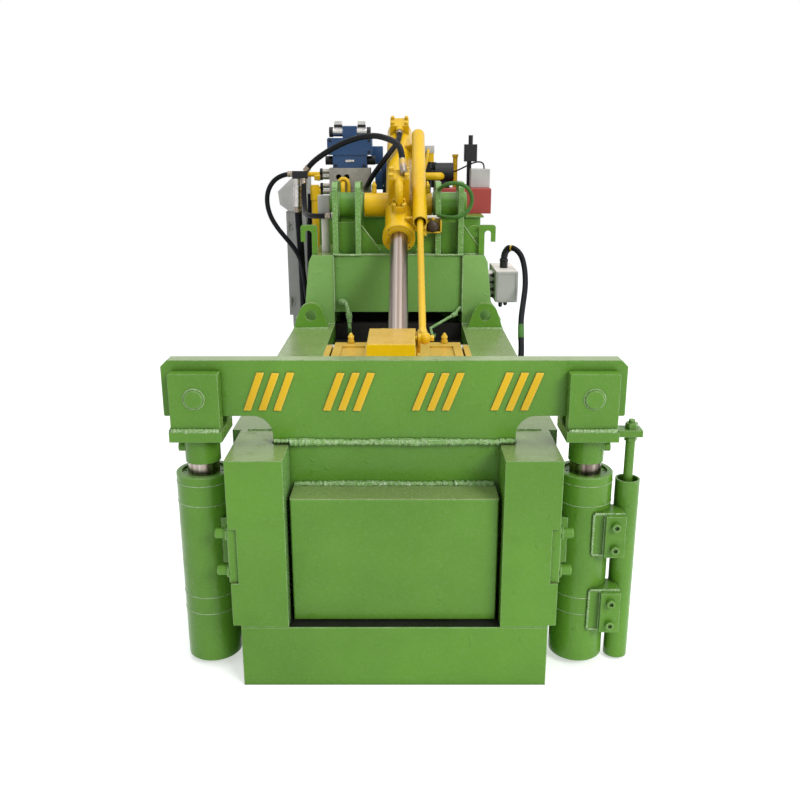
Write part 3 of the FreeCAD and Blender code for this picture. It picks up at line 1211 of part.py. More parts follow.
def tower_side():
    """The right side of the tower: its hollow wing, both bearing plates, inner gusset, rib and hook."""
    wing = plate_xz(tower_wing_outline(), TOWER_FRONT, TOWER_REAR)
    inner_x = WALL_IN + TOWER_PLATE
    hollow = plate_xz(
        [
            (inner_x, FRAME_TOP + TOWER_PLATE), (TOWER_SHOULDER_X - TOWER_PLATE, FRAME_TOP + TOWER_PLATE),
            (TOWER_HEAD_CUT_X - TOWER_PLATE, TOWER_TOP - TOWER_PLATE), (inner_x, TOWER_TOP - TOWER_PLATE),
        ],
        TOWER_FRONT + TOWER_PLATE, TOWER_REAR - TOWER_PLATE,
    )
    solid = wing.cut(hollow)
    solid = solid.fuse(bearing_plate(BEARING_OUTER_X)).fuse(bearing_plate(BEARING_INNER_X))
    solid = solid.fuse(gusset(BEARING_INNER_X, BEARING_INNER_X - GUSSET_WIDTH))
    rib_y = TRUNNION_Y - BEARING_HALF_Y + 2 * GUSSET_SETBACK
    rib = box(BEARING_INNER_X + BEARING_PLATE, BEARING_OUTER_X, rib_y, rib_y + GUSSET_THICK, TOWER_TOP, RIB_TOP)
    return solid.fuse(rib).fuse(hose_hook())


def outer_gusset():
    """The gusset outside the right wing's outer bearing plate; the left wing's post stands there instead."""
    outer_face = BEARING_OUTER_X + BEARING_PLATE
    return gusset(outer_face, outer_face + GUSSET_WIDTH)


def tower_eye():
    """The small lug with a hole on the right wing."""
    y0 = TOWER_FRONT + TOWER_EYE_SETBACK
    foot = box(
        TOWER_EYE_X - TOWER_EYE_ROUND, TOWER_EYE_X + TOWER_EYE_ROUND, y0, y0 + GUSSET_THICK, TOWER_TOP, TOWER_EYE_Z
    )
    head = bar((TOWER_EYE_X, y0, TOWER_EYE_Z), (0, 1, 0), TOWER_EYE_ROUND, GUSSET_THICK)
    hole = bar((TOWER_EYE_X, y0 - 1, TOWER_EYE_Z), (0, 1, 0), TOWER_EYE_R, GUSSET_THICK + 2)
    return foot.fuse(head).cut(hole)


def tower_panel():
    """The plates between the tower's wings: recessed front, top and rear."""
    front_y = TOWER_FRONT + PANEL_RECESS
    front = box(-WALL_IN, WALL_IN, front_y, front_y + TOWER_PLATE, PANEL_LOW, TOWER_TOP)
    top = box(-WALL_IN, WALL_IN, front_y, TOWER_REAR, TOWER_TOP - TOWER_PLATE, TOWER_TOP)
    rear = box(-WALL_IN, WALL_IN, TOWER_REAR - TOWER_PLATE, TOWER_REAR, REAR_PANEL_LOW, TOWER_TOP)
    return front.fuse(top).fuse(rear).removeSplitter()


def bearing_housings():
    length = HOUSING_END_X - HOUSING_START_X
    housing = pipe_ring(
        (HOUSING_START_X, TRUNNION_Y, TRUNNION_Z), (1, 0, 0), HOUSING_R, TRUNNION_PIN_R + RUN_GAP, length
    )
    return group([housing, mirrored(housing)])


# ---------------------------------------------------------------- main ram
def ram_head():
    """The ram's hollow head, open at the rear, on the chamber floor."""
    low = SILL_TOP + SEAT_GAP
    head = box(-RAM_HALF, RAM_HALF, RAM_FACE_Y, RAM_FACE_Y + RAM_LENGTH, low, RAM_TOP)
    inside = box(
        -RAM_HALF + RAM_WALL, RAM_HALF - RAM_WALL, RAM_FACE_Y + RAM_PLATE, RAM_FACE_Y + RAM_LENGTH + 1,
        low + RAM_WALL, RAM_TOP - RAM_WALL,
    )
    return head.cut(inside)


def ram_rod():
    """The main rod, from the head's face plate to the piston at the rear of its barrel."""
    start = RAM_FACE_Y + RAM_PLATE
    rod = bar((0, start, RAM_AXIS_Z), (0, 1, 0), RAM_ROD_R, MAIN_PISTON_REAR - start)
    piston_start = (0, MAIN_PISTON_REAR - MAIN_PISTON, RAM_AXIS_Z)
    return rod.fuse(bar(piston_start, (0, 1, 0), MAIN_BORE_R - RUN_GAP, MAIN_PISTON))


def main_cylinder():
    """The main cylinder, its front flange against the thrust plate."""
    start = THRUST_Y + THRUST_THICK
    solid = bar((0, start, RAM_AXIS_Z), (0, 1, 0), MAIN_BARREL_R, MAIN_LENGTH)
    solid = solid.fuse(bar((0, start, RAM_AXIS_Z), (0, 1, 0), MAIN_FLANGE_R, MAIN_FLANGE_THICK))
    for y, line in ((RISER_PIPE_Y, riser_port_line()), (RISER_HOSE[-1][1], V(-1, 0, 0))):
        boss = bar((0, y, RAM_AXIS_Z), line, CYLINDER_PORT_R, MAIN_BARREL_R + CYLINDER_PORT_OUT)
        solid = solid.fuse(boss)
    solid = solid.cut(bar((0, start - 1, RAM_AXIS_Z), (0, 1, 0), RAM_ROD_R + RUN_GAP, MAIN_GLAND + 2))
    bore = bar((0, start + MAIN_GLAND, RAM_AXIS_Z), (0, 1, 0), MAIN_BORE_R, MAIN_LENGTH - MAIN_GLAND - MAIN_CAP)
    return solid.cut(bore)


def rear_frame():
    """Two beams behind the chamber, saddles for the main cylinder and posts for the tank."""
    solid = None
    for side in (-1, 1):
        x0, x1 = sorted((side * BEAM_INNER_X, side * BEAM_OUTER_X))
        beam = box(x0, x1, WALL_REAR, FRAME_END_Y, 0, REAR_BEAM_TOP)
        solid = beam if solid is None else solid.fuse(beam)
        for y in POST_PLACES:
            solid = solid.fuse(box(x0, x1, y, y + POST_LENGTH, REAR_BEAM_TOP, FRAME_TOP))
    for y in SADDLE_PLACES:
        web = box(-BEAM_INNER_X, BEAM_INNER_X, y, y + SADDLE_THICK, 0, RAM_AXIS_Z)
        web = web.cut(bar((0, y - 1, RAM_AXIS_Z), (0, 1, 0), MAIN_BARREL_R, SADDLE_THICK + 2))
        solid = solid.fuse(web)
    return solid.removeSplitter()


# ---------------------------------------------------------------- power pack
def oil_tank():
    """The sealed tank over the main cylinder, with its cover plate and filler."""
    tank = box(-TANK_HALF, TANK_HALF, TANK_FRONT, TANK_REAR, FRAME_TOP, TANK_TOP - TANK_COVER_THICK)
    uprights = [e for e in tank.Edges if e.BoundBox.ZLength > 1]
    tank = tank.makeFillet(TANK_ROUND, uprights)
    inside = box(
        -TANK_HALF + TANK_WALL, TANK_HALF - TANK_WALL, TANK_FRONT + TANK_WALL, TANK_REAR - TANK_WALL,
        FRAME_TOP + TANK_WALL, TANK_TOP - 2 * TANK_COVER_THICK,
    )
    inside = inside.makeFillet(TANK_ROUND - TANK_WALL, [e for e in inside.Edges if e.BoundBox.ZLength > 1])
    cover = box(
        -TANK_HALF - TANK_COVER_LIP, TANK_HALF + TANK_COVER_LIP, TANK_FRONT - TANK_COVER_LIP,
        TANK_REAR + TANK_COVER_LIP, TANK_TOP - TANK_COVER_THICK, TANK_TOP,
    )
    filler = bar((FILLER_X, FILLER_Y, TANK_TOP), (0, 0, 1), FILLER_R, FILLER_HEIGHT)
    return tank.cut(inside).fuse(cover).fuse(filler)


def motor():
    """The finned electric motor, with its cowl, feet and terminal box."""
    solid = bar((MOTOR_X, MOTOR_FRONT, MOTOR_Z), (0, 1, 0), MOTOR_R, MOTOR_LENGTH)
    fin_reach = MOTOR_R + MOTOR_FIN_OUT
    fin = box(
        -MOTOR_FIN_THICK / 2, MOTOR_FIN_THICK / 2, MOTOR_FRONT + MOTOR_FIN_OUT,
        MOTOR_FRONT + MOTOR_LENGTH - MOTOR_COWL, 0, fin_reach,
    )
    for k in range(MOTOR_FINS):
        turned = fin.copy()
        turned.rotate(V(0, 0, 0), V(0, 1, 0), 360.0 * (k + 0.5) / MOTOR_FINS)
        turned.translate(V(MOTOR_X, 0, MOTOR_Z))
        solid = solid.fuse(turned)
    cowl_start = (MOTOR_X, MOTOR_FRONT + MOTOR_LENGTH - MOTOR_COWL, MOTOR_Z)
    solid = solid.fuse(bar(cowl_start, (0, 1, 0), fin_reach, MOTOR_COWL))
    foot_y = MOTOR_FRONT + MOTOR_FIN_OUT * 2
    foot_half = MOTOR_FOOT_WIDTH / 2
    foot = box(
        MOTOR_X - foot_half, MOTOR_X + foot_half, foot_y, foot_y + MOTOR_FOOT_LENGTH, TANK_TOP, MOTOR_Z - MOTOR_R * 0.6
    )
    solid = solid.fuse(foot)
    terminal = box(
        MOTOR_X - MOTOR_BOX_HALF, MOTOR_X + MOTOR_BOX_HALF, foot_y + 2 * MOTOR_BOX_HALF, foot_y + 4 * MOTOR_BOX_HALF,
        MOTOR_Z, MOTOR_Z + MOTOR_R + MOTOR_BOX_HEIGHT,
    )
    return solid.fuse(terminal)


def pump():
    """The bell housing and the pump ahead of the motor."""
    bell_start = MOTOR_FRONT - BELL_LENGTH
    bell = bar((MOTOR_X, bell_start, MOTOR_Z), (0, 1, 0), BELL_R, BELL_LENGTH)
    body = bar((MOTOR_X, bell_start - PUMP_LENGTH, MOTOR_Z), (0, 1, 0), PUMP_R, PUMP_LENGTH)
    return bell.fuse(body)


def manifold():
    """The drilled steel block on the tank, with two ports in its front."""
    right = MANIFOLD_LEFT + MANIFOLD_WIDTH
    solid = box(MANIFOLD_LEFT, right, MANIFOLD_FRONT, MANIFOLD_REAR, TANK_TOP, MANIFOLD_TOP)
    for x in MANIFOLD_HOLES:
        start = (MANIFOLD_LEFT + x, MANIFOLD_FRONT - 1, MANIFOLD_TOP - MANIFOLD_HOLE_DOWN)
        solid = solid.cut(bar(start, (0, 1, 0), MANIFOLD_HOLE_R, MANIFOLD_HOLE_DEEP))
    return solid


def main_valve():
    """The valve body, wider above its foot, with side covers."""
    foot = box(
        VALVE_X - VALVE_LOW_HALF, VALVE_X + VALVE_LOW_HALF, VALVE_FRONT, VALVE_REAR, MANIFOLD_TOP, VALVE_STEP_Z
    )
    body = box(
        VALVE_X - VALVE_MID_HALF, VALVE_X + VALVE_MID_HALF, VALVE_FRONT - 5, VALVE_REAR, VALVE_STEP_Z, VALVE_TOP
    )
    body = body.makeChamfer(6.0, [e for e in body.Edges if e.BoundBox.YLength > 1])
    cover_end = VALVE_MID_HALF + VALVE_COVER_OUT
    covers = bar(
        (VALVE_X - cover_end, (VALVE_FRONT + VALVE_REAR) / 2, VALVE_COVER_Z), (1, 0, 0), VALVE_COVER_R, 2 * cover_end
    )
    return foot.fuse(body).fuse(covers)


def pilot_valve():
    """The pilot valve with its two solenoids, each with an end cap and a cable plug."""
    middle = (VALVE_FRONT + VALVE_REAR) / 2
    block = box(
        VALVE_X - PILOT_HALF, VALVE_X + PILOT_HALF, middle - PILOT_HALF_Y, middle + PILOT_HALF_Y, VALVE_TOP, PILOT_TOP
    )
    block = block.makeChamfer(3.0, [e for e in block.Edges if e.BoundBox.ZMin > PILOT_TOP - 1])
    start = VALVE_X + PILOT_HALF
    coil = bar((start, middle, SOLENOID_Z), (1, 0, 0), SOLENOID_R, SOLENOID_LENGTH)
    cap = bar((start + SOLENOID_LENGTH, middle, SOLENOID_Z), (1, 0, 0), SOLENOID_CAP_R, SOLENOID_CAP_LENGTH)
    plug = box(
        start + 4, start + 4 + PLUG_WIDTH, middle - PLUG_WIDTH / 2, middle + PLUG_WIDTH / 2, SOLENOID_Z, PLUG_TOP
    )
    right = coil.fuse(cap).fuse(plug)
    left = right.mirror(V(VALVE_X, 0, 0), V(1, 0, 0))
    return block.fuse(left).fuse(right)


def pipe_fittings():
    """Nipples on the manifold's left side, the flange on its front, hose fittings and the hose tee."""
    pieces = []
    for z in NIPPLE_HEIGHTS:
        stem = bar((MANIFOLD_LEFT, NIPPLE_Y, z), (-1, 0, 0), NIPPLE_R, NIPPLE_LENGTH)
        collar = hexagon(
            (MANIFOLD_LEFT - NIPPLE_LENGTH, NIPPLE_Y, z), (-1, 0, 0), NIPPLE_HEX_ACROSS, NIPPLE_HEX_LENGTH
        )
        pieces.append(stem.fuse(collar))
    flange = pipe_ring(
        (PORT_FLANGE_X, MANIFOLD_FRONT, PORT_FLANGE_Z), (0, -1, 0), PORT_FLANGE_R, PIPE_R, PORT_FLANGE_THICK
    )
    pieces.append(flange)
    tee = box(TEE_LEFT, TEE_RIGHT, TEE_FRONT, TEE_REAR, TEE_LOW, TEE_TOP)
    riser_x, riser_y = RISER_TOP[0], RISER_TOP[1]
    neck = bar((riser_x, riser_y, TEE_LOW), (0, 0, -1), CRIMP_NECK_R, CRIMP_NECK)
    crimp = bar((riser_x, riser_y, TEE_LOW - CRIMP_NECK), (0, 0, -1), CRIMP_R, CRIMP_LENGTH)
    pieces.append(tee.fuse(neck).fuse(crimp))
    cap_end = V(*CAP_HOSE_END)
    pieces.append(bar(
        (cap_end.x, MANIFOLD_FRONT, cap_end.z), (0, -1, 0), FITTING_R, MANIFOLD_FRONT - cap_end.y
    ))
    plate_face = -(BEARING_OUTER_X + BEARING_PLATE)
    cross_end = V(*CROSS_HOSE_END)
    pieces.append(bar((plate_face, cross_end.y, cross_end.z), (-1, 0, 0), FITTING_R, plate_face - cross_end.x))
    for x, y, z in (LOOP_END, DROP_END):
        low = z - WALL_ELBOW_DROP
        pieces.append(pipe([(x, WALL_REAR, low), (x, y, low), (x, y, z)], PIPE_R))
    conduit_end = V(*CONDUIT_END)
    pieces.append(hexagon(
        (WALL_OUT, conduit_end.y, conduit_end.z), (1, 0, 0), GLAND_R * 2, conduit_end.x - WALL_OUT
    ))
    for end in (GREEN_START, GREEN_END):
        face_y = TRUNNION_Y - BEARING_HALF_Y
        pieces.append(bar((end[0], face_y, end[2]), (0, -1, 0), SMALL_FITTING_R, face_y - end[1]))
    return group(pieces)


def pipe(points, radius):
    return tube_along(points, radius)[0]


def riser_port_line():
    """The direction of the riser's port, out of the main cylinder's left side."""
    angle = math.radians(RISER_PORT_ANGLE)
    return V(-math.cos(angle), 0, math.sin(angle))


def steel_pipes():
    """Rigid pipes: two elbows from the manifold, the riser, the manifold's drain and the cooler's pipes."""
    nipple_end = MANIFOLD_LEFT - NIPPLE_LENGTH - NIPPLE_HEX_LENGTH
    tee_x = (TEE_LEFT + TEE_RIGHT) / 2 + NIPPLE_R
    upper = pipe(
        [(nipple_end, NIPPLE_Y, UPPER_ELBOW_Z), (tee_x, NIPPLE_Y, UPPER_ELBOW_Z), (tee_x, TEE_REAR, UPPER_ELBOW_Z)],
        PIPE_R,
    )
    collar_rear = RISER_PIPE_Y + RISER_PIPE_COLLAR_R
    lower = pipe(
        [
            (nipple_end, NIPPLE_Y, LOWER_ELBOW_Z), (RISER_PIPE_X - NIPPLE_LENGTH, NIPPLE_Y, LOWER_ELBOW_Z),
            (RISER_PIPE_X - 4, collar_rear - 4, LOWER_ELBOW_Z),
        ],
        PIPE_R,
    )
    port = riser_port_line() * (MAIN_BARREL_R + CYLINDER_PORT_OUT) + V(0, RISER_PIPE_Y, RAM_AXIS_Z)
    corner_z = port.z + (port.x - RISER_PIPE_X) * math.tan(math.radians(RISER_PORT_ANGLE))
    riser = pipe(
        [
            (RISER_PIPE_X, RISER_PIPE_Y, RISER_PIPE_TOP), (RISER_PIPE_X, RISER_PIPE_Y, corner_z), tuple(port),
        ],
        RISER_PIPE_R,
    )
    collar_low = RISER_PIPE_TOP - RISER_PIPE_COLLAR
    collar = bar(
        (RISER_PIPE_X, RISER_PIPE_Y, collar_low), (0, 0, 1), RISER_PIPE_COLLAR_R, RISER_PIPE_COLLAR
    )
    front = MANIFOLD_FRONT - MANIFOLD_PIPE_OUT
    drain = pipe(
        [
            (PORT_FLANGE_X, MANIFOLD_FRONT, PORT_FLANGE_Z), (PORT_FLANGE_X, front, PORT_FLANGE_Z),
            (PORT_FLANGE_X, front, TANK_TOP),
        ],
        PIPE_R,
    )
    stand = bar((STAND_PIPE_X, STAND_PIPE_Y, TANK_TOP), (0, 0, 1), PIPE_R, STAND_PIPE_TOP - TANK_TOP)
    stand_cap = bar((STAND_PIPE_X, STAND_PIPE_Y, STAND_PIPE_TOP), (0, 0, 1), STAND_CAP_R, NIPPLE_HEX_LENGTH)
    pump_front = MOTOR_FRONT - BELL_LENGTH - PUMP_LENGTH
    suction = pipe(
        [
            (MOTOR_X, pump_front, MOTOR_Z), (MOTOR_X, PUMP_PIPE_Y, MOTOR_Z), (PUMP_PIPE_X, PUMP_PIPE_Y, MOTOR_Z),
            (PUMP_PIPE_X, FILTER_Y, MOTOR_Z),
        ],
        PUMP_PIPE_R,
    ).cut(bar((FILTER_LEFT, FILTER_Y, FILTER_Z), (1, 0, 0), FILTER_R, FILTER_RIGHT - FILTER_LEFT))
    head_front = SIDE_BLOCK_Y - SIDE_BLOCK_HALF
    pump_pipe_top = MOTOR_Z + PUMP_PIPE_R
    pilot_line = pipe(
        [
            (SIDE_BLOCK_X - 3, head_front, SIDE_PORT_Z), (SIDE_BLOCK_X - 3, head_front - 18, SIDE_PORT_Z),
            (SIDE_BLOCK_X - 30, PUMP_PIPE_Y + SMALL_PIPE_R, pump_pipe_top + 16),
            (SIDE_BLOCK_X - 34, PUMP_PIPE_Y + 2, pump_pipe_top - 4),
        ],
        SMALL_PIPE_R,
    )
    return group([upper, riser.fuse(collar).fuse(lower), drain, stand.fuse(stand_cap), suction.fuse(pilot_line)])


def switch_post():
    """The round post on the tower's left wing, with the grey box on top."""
    post = bar((POST_X, POST_Y, TOWER_TOP), (0, 0, 1), POST_R, POST_TOP - TOWER_TOP)
    case = box(SWITCH_LEFT, SWITCH_RIGHT, POST_Y - SWITCH_HALF_Y, POST_Y + SWITCH_HALF_Y, POST_TOP, SWITCH_TOP)
    return post.fuse(case.makeFillet(3.0, case.Edges))


def arch_corner():
    return on_barrel(ARCH_X, sum(FRONT_BLOCK[:2]) / 2, FRONT_BLOCK[2] + ARCH_FITTING_RISE)


def arch_elbow():
    """The swept fitting on the lid cylinder's front port block, ending at the arched hose."""
    start = arch_corner() - SQUARE * ARCH_FITTING_RISE
    return pipe([tuple(start), tuple(arch_corner()), ARCH_START], ARCH_FITTING_R)


def hoses():
    """Each hose starts square on its fitting and keeps to the same points as its fittings."""
    cap_start = on_barrel(LID_CYL_X, REAR_BLOCK[0] - FITTING_LENGTH, rear_port_height())
    cap_next = cap_start - ALONG * CAP_HOSE_LEAD
    arch_start = V(*ARCH_START)
    arch_next = arch_start + (arch_start - arch_corner()).normalize() * ARCH_HOSE_LEAD
    cord("hose_arch", ([ARCH_START, tuple(arch_next)] + ARCH_HOSE, HOSE_R))
    cord("hose_cap_end", ([tuple(cap_start), tuple(cap_next)] + CAP_HOSE + [CAP_HOSE_END], LOOP_R + 0.5))
    riser_start = (RISER_TOP[0], RISER_TOP[1], TEE_LOW - CRIMP_NECK - CRIMP_LENGTH)
    cord("hose_riser", ([riser_start] + RISER_HOSE, RISER_R))
    cord(
        "tower_hoses", (LOOP_HOSE + [LOOP_END], LOOP_R), (CROSS_HOSE + [CROSS_HOSE_END], LOOP_R),
        (DROP_HOSE, LOOP_R),
    )
    cord("green_hose", ([GREEN_START] + GREEN_HOSE + [GREEN_END], GREEN_HOSE_R))
    conduit_start = (GLAND_X, GLAND_Y, JUNCTION_TOP + GLAND_HEIGHT)
    cord("cables", ([conduit_start] + CONDUIT + [CONDUIT_END], CONDUIT_R), (LEAD, LEAD_R))


def return_filter():
    """The black filter bowl on its stand, lying across the cooler."""
    bowl = bar((FILTER_BOWL_LEFT, FILTER_Y, FILTER_Z), (1, 0, 0), FILTER_R, FILTER_RIGHT - FILTER_BOWL_LEFT)
    neck = bar((FILTER_LEFT, FILTER_Y, FILTER_Z), (1, 0, 0), FILTER_NECK_R, FILTER_BOWL_LEFT - FILTER_LEFT)
    stand = box(
        FILTER_BOWL_LEFT + FILTER_STAND_LEFT, FILTER_RIGHT - FILTER_STAND_RIGHT,
        FILTER_Y - FILTER_STAND_HALF, FILTER_Y + FILTER_STAND_HALF, TERMINAL_LOW, FILTER_Z,
    )
    return bowl.fuse(neck).fuse(stand)


def side_valve():
    """The slim valve block that stands right of the cylinder, with its square head."""
    stem = box(
        SIDE_BLOCK_X - SIDE_BLOCK_HALF / 2, SIDE_BLOCK_X + SIDE_BLOCK_HALF / 2,
        SIDE_BLOCK_Y - SIDE_BLOCK_HALF / 2, SIDE_BLOCK_Y + SIDE_BLOCK_HALF / 2,
        SIDE_BLOCK_LOW, SIDE_BLOCK_TOP - SIDE_HEAD_HEIGHT,
    )
    head = box(
        SIDE_BLOCK_X - SIDE_BLOCK_HALF, SIDE_BLOCK_X + SIDE_BLOCK_HALF,
        SIDE_BLOCK_Y - SIDE_BLOCK_HALF, SIDE_BLOCK_Y + SIDE_BLOCK_HALF,
        SIDE_BLOCK_TOP - SIDE_HEAD_HEIGHT, SIDE_BLOCK_TOP,
    )
    return stem.fuse(head)


def relief_valve():
    """The black valve on a tall stand, with its adjusting stud."""
    stand = box(
        RELIEF_X - 12, RELIEF_X + 12, RELIEF_Y + 80, RELIEF_Y + 104, TANK_TOP, RELIEF_TOP - 20
    )
    arm = box(RELIEF_X - 12, RELIEF_X + 12, RELIEF_Y + RELIEF_HALF, RELIEF_Y + 80, RELIEF_TOP - 50, RELIEF_TOP - 20)
    body = box(
        RELIEF_X - RELIEF_HALF, RELIEF_X + RELIEF_HALF, RELIEF_Y - RELIEF_HALF, RELIEF_Y + RELIEF_HALF,
        RELIEF_LOW, RELIEF_TOP,
    )
    body = body.makeChamfer(4.0, [e for e in body.Edges if e.BoundBox.ZLength > 1])
    stud = bar((RELIEF_X, RELIEF_Y, RELIEF_TOP), (0, 0, 1), RELIEF_STUD_R, RELIEF_STUD_TOP - RELIEF_TOP)
    return stand.fuse(arm).fuse(body).fuse(stud)


def oil_cooler():
    """The wide red box on the tank's right half."""
    case = box(COOLER_LEFT, COOLER_RIGHT, COOLER_FRONT, COOLER_REAR, TANK_TOP, TERMINAL_LOW)
    return case.makeFillet(6.0, [e for e in case.Edges if e.BoundBox.ZMin > TERMINAL_LOW - 1])


def terminal_box():
    """The grey box on top of the cooler."""
    case = box(TERMINAL_LEFT, TERMINAL_RIGHT, TERMINAL_FRONT, TERMINAL_REAR, TERMINAL_LOW, TERMINAL_TOP)
    return case.makeFillet(4.0, case.Edges)


# ---------------------------------------------------------------- electrics
def control_cabinet():
    """The cabinet beside the tank, open on its left where the door closes it, and its brackets."""
    case = box(CABINET_LEFT, CABINET_RIGHT, CABINET_FRONT, CABINET_REAR, CABINET_LOW, CABINET_TOP)
    inside = box(
        CABINET_LEFT + CABINET_WALL, CABINET_RIGHT - CABINET_WALL, CABINET_FRONT + CABINET_WALL,
        CABINET_REAR - CABINET_WALL, CABINET_LOW + CABINET_WALL, CABINET_TOP - CABINET_WALL,
    )
    opening = box(
        CABINET_LEFT - 1, CABINET_LEFT + CABINET_WALL + 1, CABINET_FRONT + DOOR_REBATE, CABINET_REAR - DOOR_REBATE,
        DOOR_LOW + DOOR_REBATE, CABINET_TOP - DOOR_MARGIN - DOOR_REBATE,
    )
    solid = case.cut(inside).cut(opening)
    x, y = door_axis()
    for centre in DOOR_HINGES:
        for low in (centre - DOOR_KNUCKLE * 1.5, centre + DOOR_KNUCKLE * 0.5):
            knuckle = bar((x, y, low), (0, 0, 1), DOOR_HINGE_R, DOOR_KNUCKLE)
            strap = box(
                x, CABINET_LEFT + HINGE_STRAP, CABINET_FRONT - HINGE_STRAP_THICK, CABINET_FRONT,
                low, low + DOOR_KNUCKLE,
            )
            solid = solid.fuse(knuckle).fuse(strap)
        pin_low = centre - DOOR_KNUCKLE * 1.5
        solid = solid.fuse(bar((x, y, pin_low), (0, 0, 1), DOOR_HINGE_PIN_R, DOOR_KNUCKLE * 3))
    middle = (CABINET_FRONT + CABINET_REAR) / 2
    for z in CABINET_BRACKETS:
        arm = box(
            CABINET_RIGHT, -TANK_HALF, middle - CABINET_BRACKET_HEIGHT, middle + CABINET_BRACKET_HEIGHT,
            z, z + CABINET_BRACKET_HEIGHT,
        )
        solid = solid.fuse(arm)
    return solid


def door_axis():
    """X and Y of the door's hinge pins, off the cabinet's front left edge."""
    return (CABINET_LEFT - DOOR_GAP - DOOR_HINGE_R, CABINET_FRONT - DOOR_HINGE_R - DOOR_GAP)


def cabinet_door():
    """The door leaf on the cabinet's left face, with a knuckle for each hinge."""
    leaf = box(
        CABINET_LEFT - DOOR_GAP - DOOR_THICK, CABINET_LEFT - DOOR_GAP, CABINET_FRONT + DOOR_MARGIN,
        CABINET_REAR - DOOR_MARGIN, DOOR_LOW, CABINET_TOP - DOOR_MARGIN,
    )
    x, y = door_axis()
    half = DOOR_KNUCKLE / 2 - DOOR_KNUCKLE_GAP
    for centre in DOOR_HINGES:
        knuckle = bar((x, y, centre - half), (0, 0, 1), DOOR_HINGE_R, half * 2)
        strap = box(
            x - HINGE_STRAP_THICK / 2, x + HINGE_STRAP_THICK / 2, y, CABINET_FRONT + HINGE_STRAP,
            centre - half, centre + half,
        )
        hole = bar((x, y, centre - half - 1), (0, 0, 1), DOOR_HINGE_PIN_R + RUN_GAP, half * 2 + 2)
        leaf = leaf.fuse(knuckle).fuse(strap).cut(hole)
    return leaf


def control_console():
    """The console on top of the cabinet, with its sloping face to the left."""
    outline = [
        (CABINET_RIGHT, CABINET_TOP), (CABINET_RIGHT, CONSOLE_TOP), (CONSOLE_TOP_LEFT, CONSOLE_TOP),
        (CONSOLE_NOSE_X, CONSOLE_NOSE_HIGH), (CONSOLE_NOSE_X + CONSOLE_NOSE_IN, CONSOLE_NOSE_LOW),
        (CABINET_LEFT, CABINET_TOP),
    ]
    front = CABINET_FRONT - CONSOLE_PROUD
    return plate_xz(outline, front, front + CONSOLE_LENGTH)


def junction_box():
    """The grey box on the tower's right side, with its bracket and upper cable gland."""
    case = box(JUNCTION_LEFT, JUNCTION_RIGHT, JUNCTION_FRONT, JUNCTION_REAR, JUNCTION_LOW, JUNCTION_TOP)
    case = case.makeFillet(JUNCTION_ROUND, case.Edges)
    bracket = box(
        TOWER_HEAD_X, JUNCTION_LEFT + JUNCTION_ROUND, JUNCTION_FRONT + 70, JUNCTION_FRONT + 200,
        JUNCTION_LOW + 20, JUNCTION_TOP - 20,
    )
    bracket = bracket.cut(plate_xz(tower_wing_outline(), TOWER_FRONT, TOWER_REAR))
    gland = hexagon((GLAND_X, GLAND_Y, JUNCTION_TOP), (0, 0, 1), GLAND_R * 2, GLAND_HEIGHT)
    return case.fuse(bracket).fuse(gland)


# ---------------------------------------------------------------- build
def build():
    NODES["columns"] = both(column())
    NODES["sill_beam"] = sill()
    NODES["cylinder_keys"] = both(cylinder_key())
    NODES["frame_bolts"] = frame_bolts()
    NODES["gate_panel"] = gate_panel()
    NODES["gate_beam"] = gate_beam()
    NODES["clevises"] = both(clevis())
    NODES["clevis_pins"] = clevis_pins()
    NODES["gate_rods"] = both(gate_rod())
    NODES["rod_collars"] = rod_collars()
    NODES["gate_cylinders"] = both(gate_cylinder())
    NODES["gate_glands"] = gate_glands()
    NODES["sensor_tube"] = sensor_tube()
    NODES["sensor_clamps"] = sensor_clamps()
    NODES["sensor_rod"] = sensor_rod()
    pair("side_wall", side_wall())
    NODES["chamber_floor"] = chamber_floor()
    NODES["wall_liners"] = wall_liners()
    NODES["lid_plate"] = lid_plate()
    NODES["guard_block"] = guard_block()
    NODES["lid_hinge_shaft"] = hinge_shaft()
    NODES["lid_cylinder"] = lid_cylinder()
    NODES["lid_gland"] = lid_gland()
    NODES["lid_sensor_tube"] = lid_sensor_tube()
    NODES["lid_rod"] = lid_rod()
    NODES["lid_pin"] = lid_pin()
    NODES["lid_sensor_rod"] = lid_sensor_rod()
    NODES["tower_left"] = mirrored(tower_side())
    NODES["tower_right"] = tower_side().fuse(outer_gusset()).fuse(tower_eye())
    NODES["cross_plates"] = group([tower_panel(), thrust_plate()])
    NODES["bearing_housings"] = bearing_housings()
    NODES["ram_head"] = ram_head()
    NODES["ram_rod"] = ram_rod()
    NODES["main_cylinder"] = main_cylinder()
    NODES["rear_frame"] = rear_frame()
    NODES["oil_tank"] = oil_tank()
    NODES["motor"] = motor()
    NODES["pump"] = pump()
    NODES["manifold"] = manifold()
    NODES["main_valve"] = main_valve()
    NODES["pilot_valve"] = pilot_valve()
    NODES["pipe_fittings"] = pipe_fittings()
    NODES["steel_pipes"] = steel_pipes()
    NODES["return_filter"] = return_filter()
    NODES["side_valve"] = side_valve()
    NODES["relief_valve"] = relief_valve()
    NODES["oil_cooler"] = oil_cooler()
    NODES["terminal_box"] = terminal_box()
    NODES["control_cabinet"] = control_cabinet()
    NODES["cabinet_door"] = cabinet_door()
    NODES["control_console"] = control_console()
    NODES["junction_box"] = junction_box()
    NODES["switch_post"] = switch_post()
    hoses()


def export():
    os.makedirs("parts", exist_ok=True)
    for name, shape in NODES.items():
        for solid in shape.Solids:
            if not solid.isValid():
                print("not valid:", name)
        shape.exportStep("parts/" + name + ".step")
        print(name, len(shape.Solids), "solids")


build()
export()
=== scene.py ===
import json
import math
import random

import bmesh
import bpy
from mathutils import Matrix, Vector


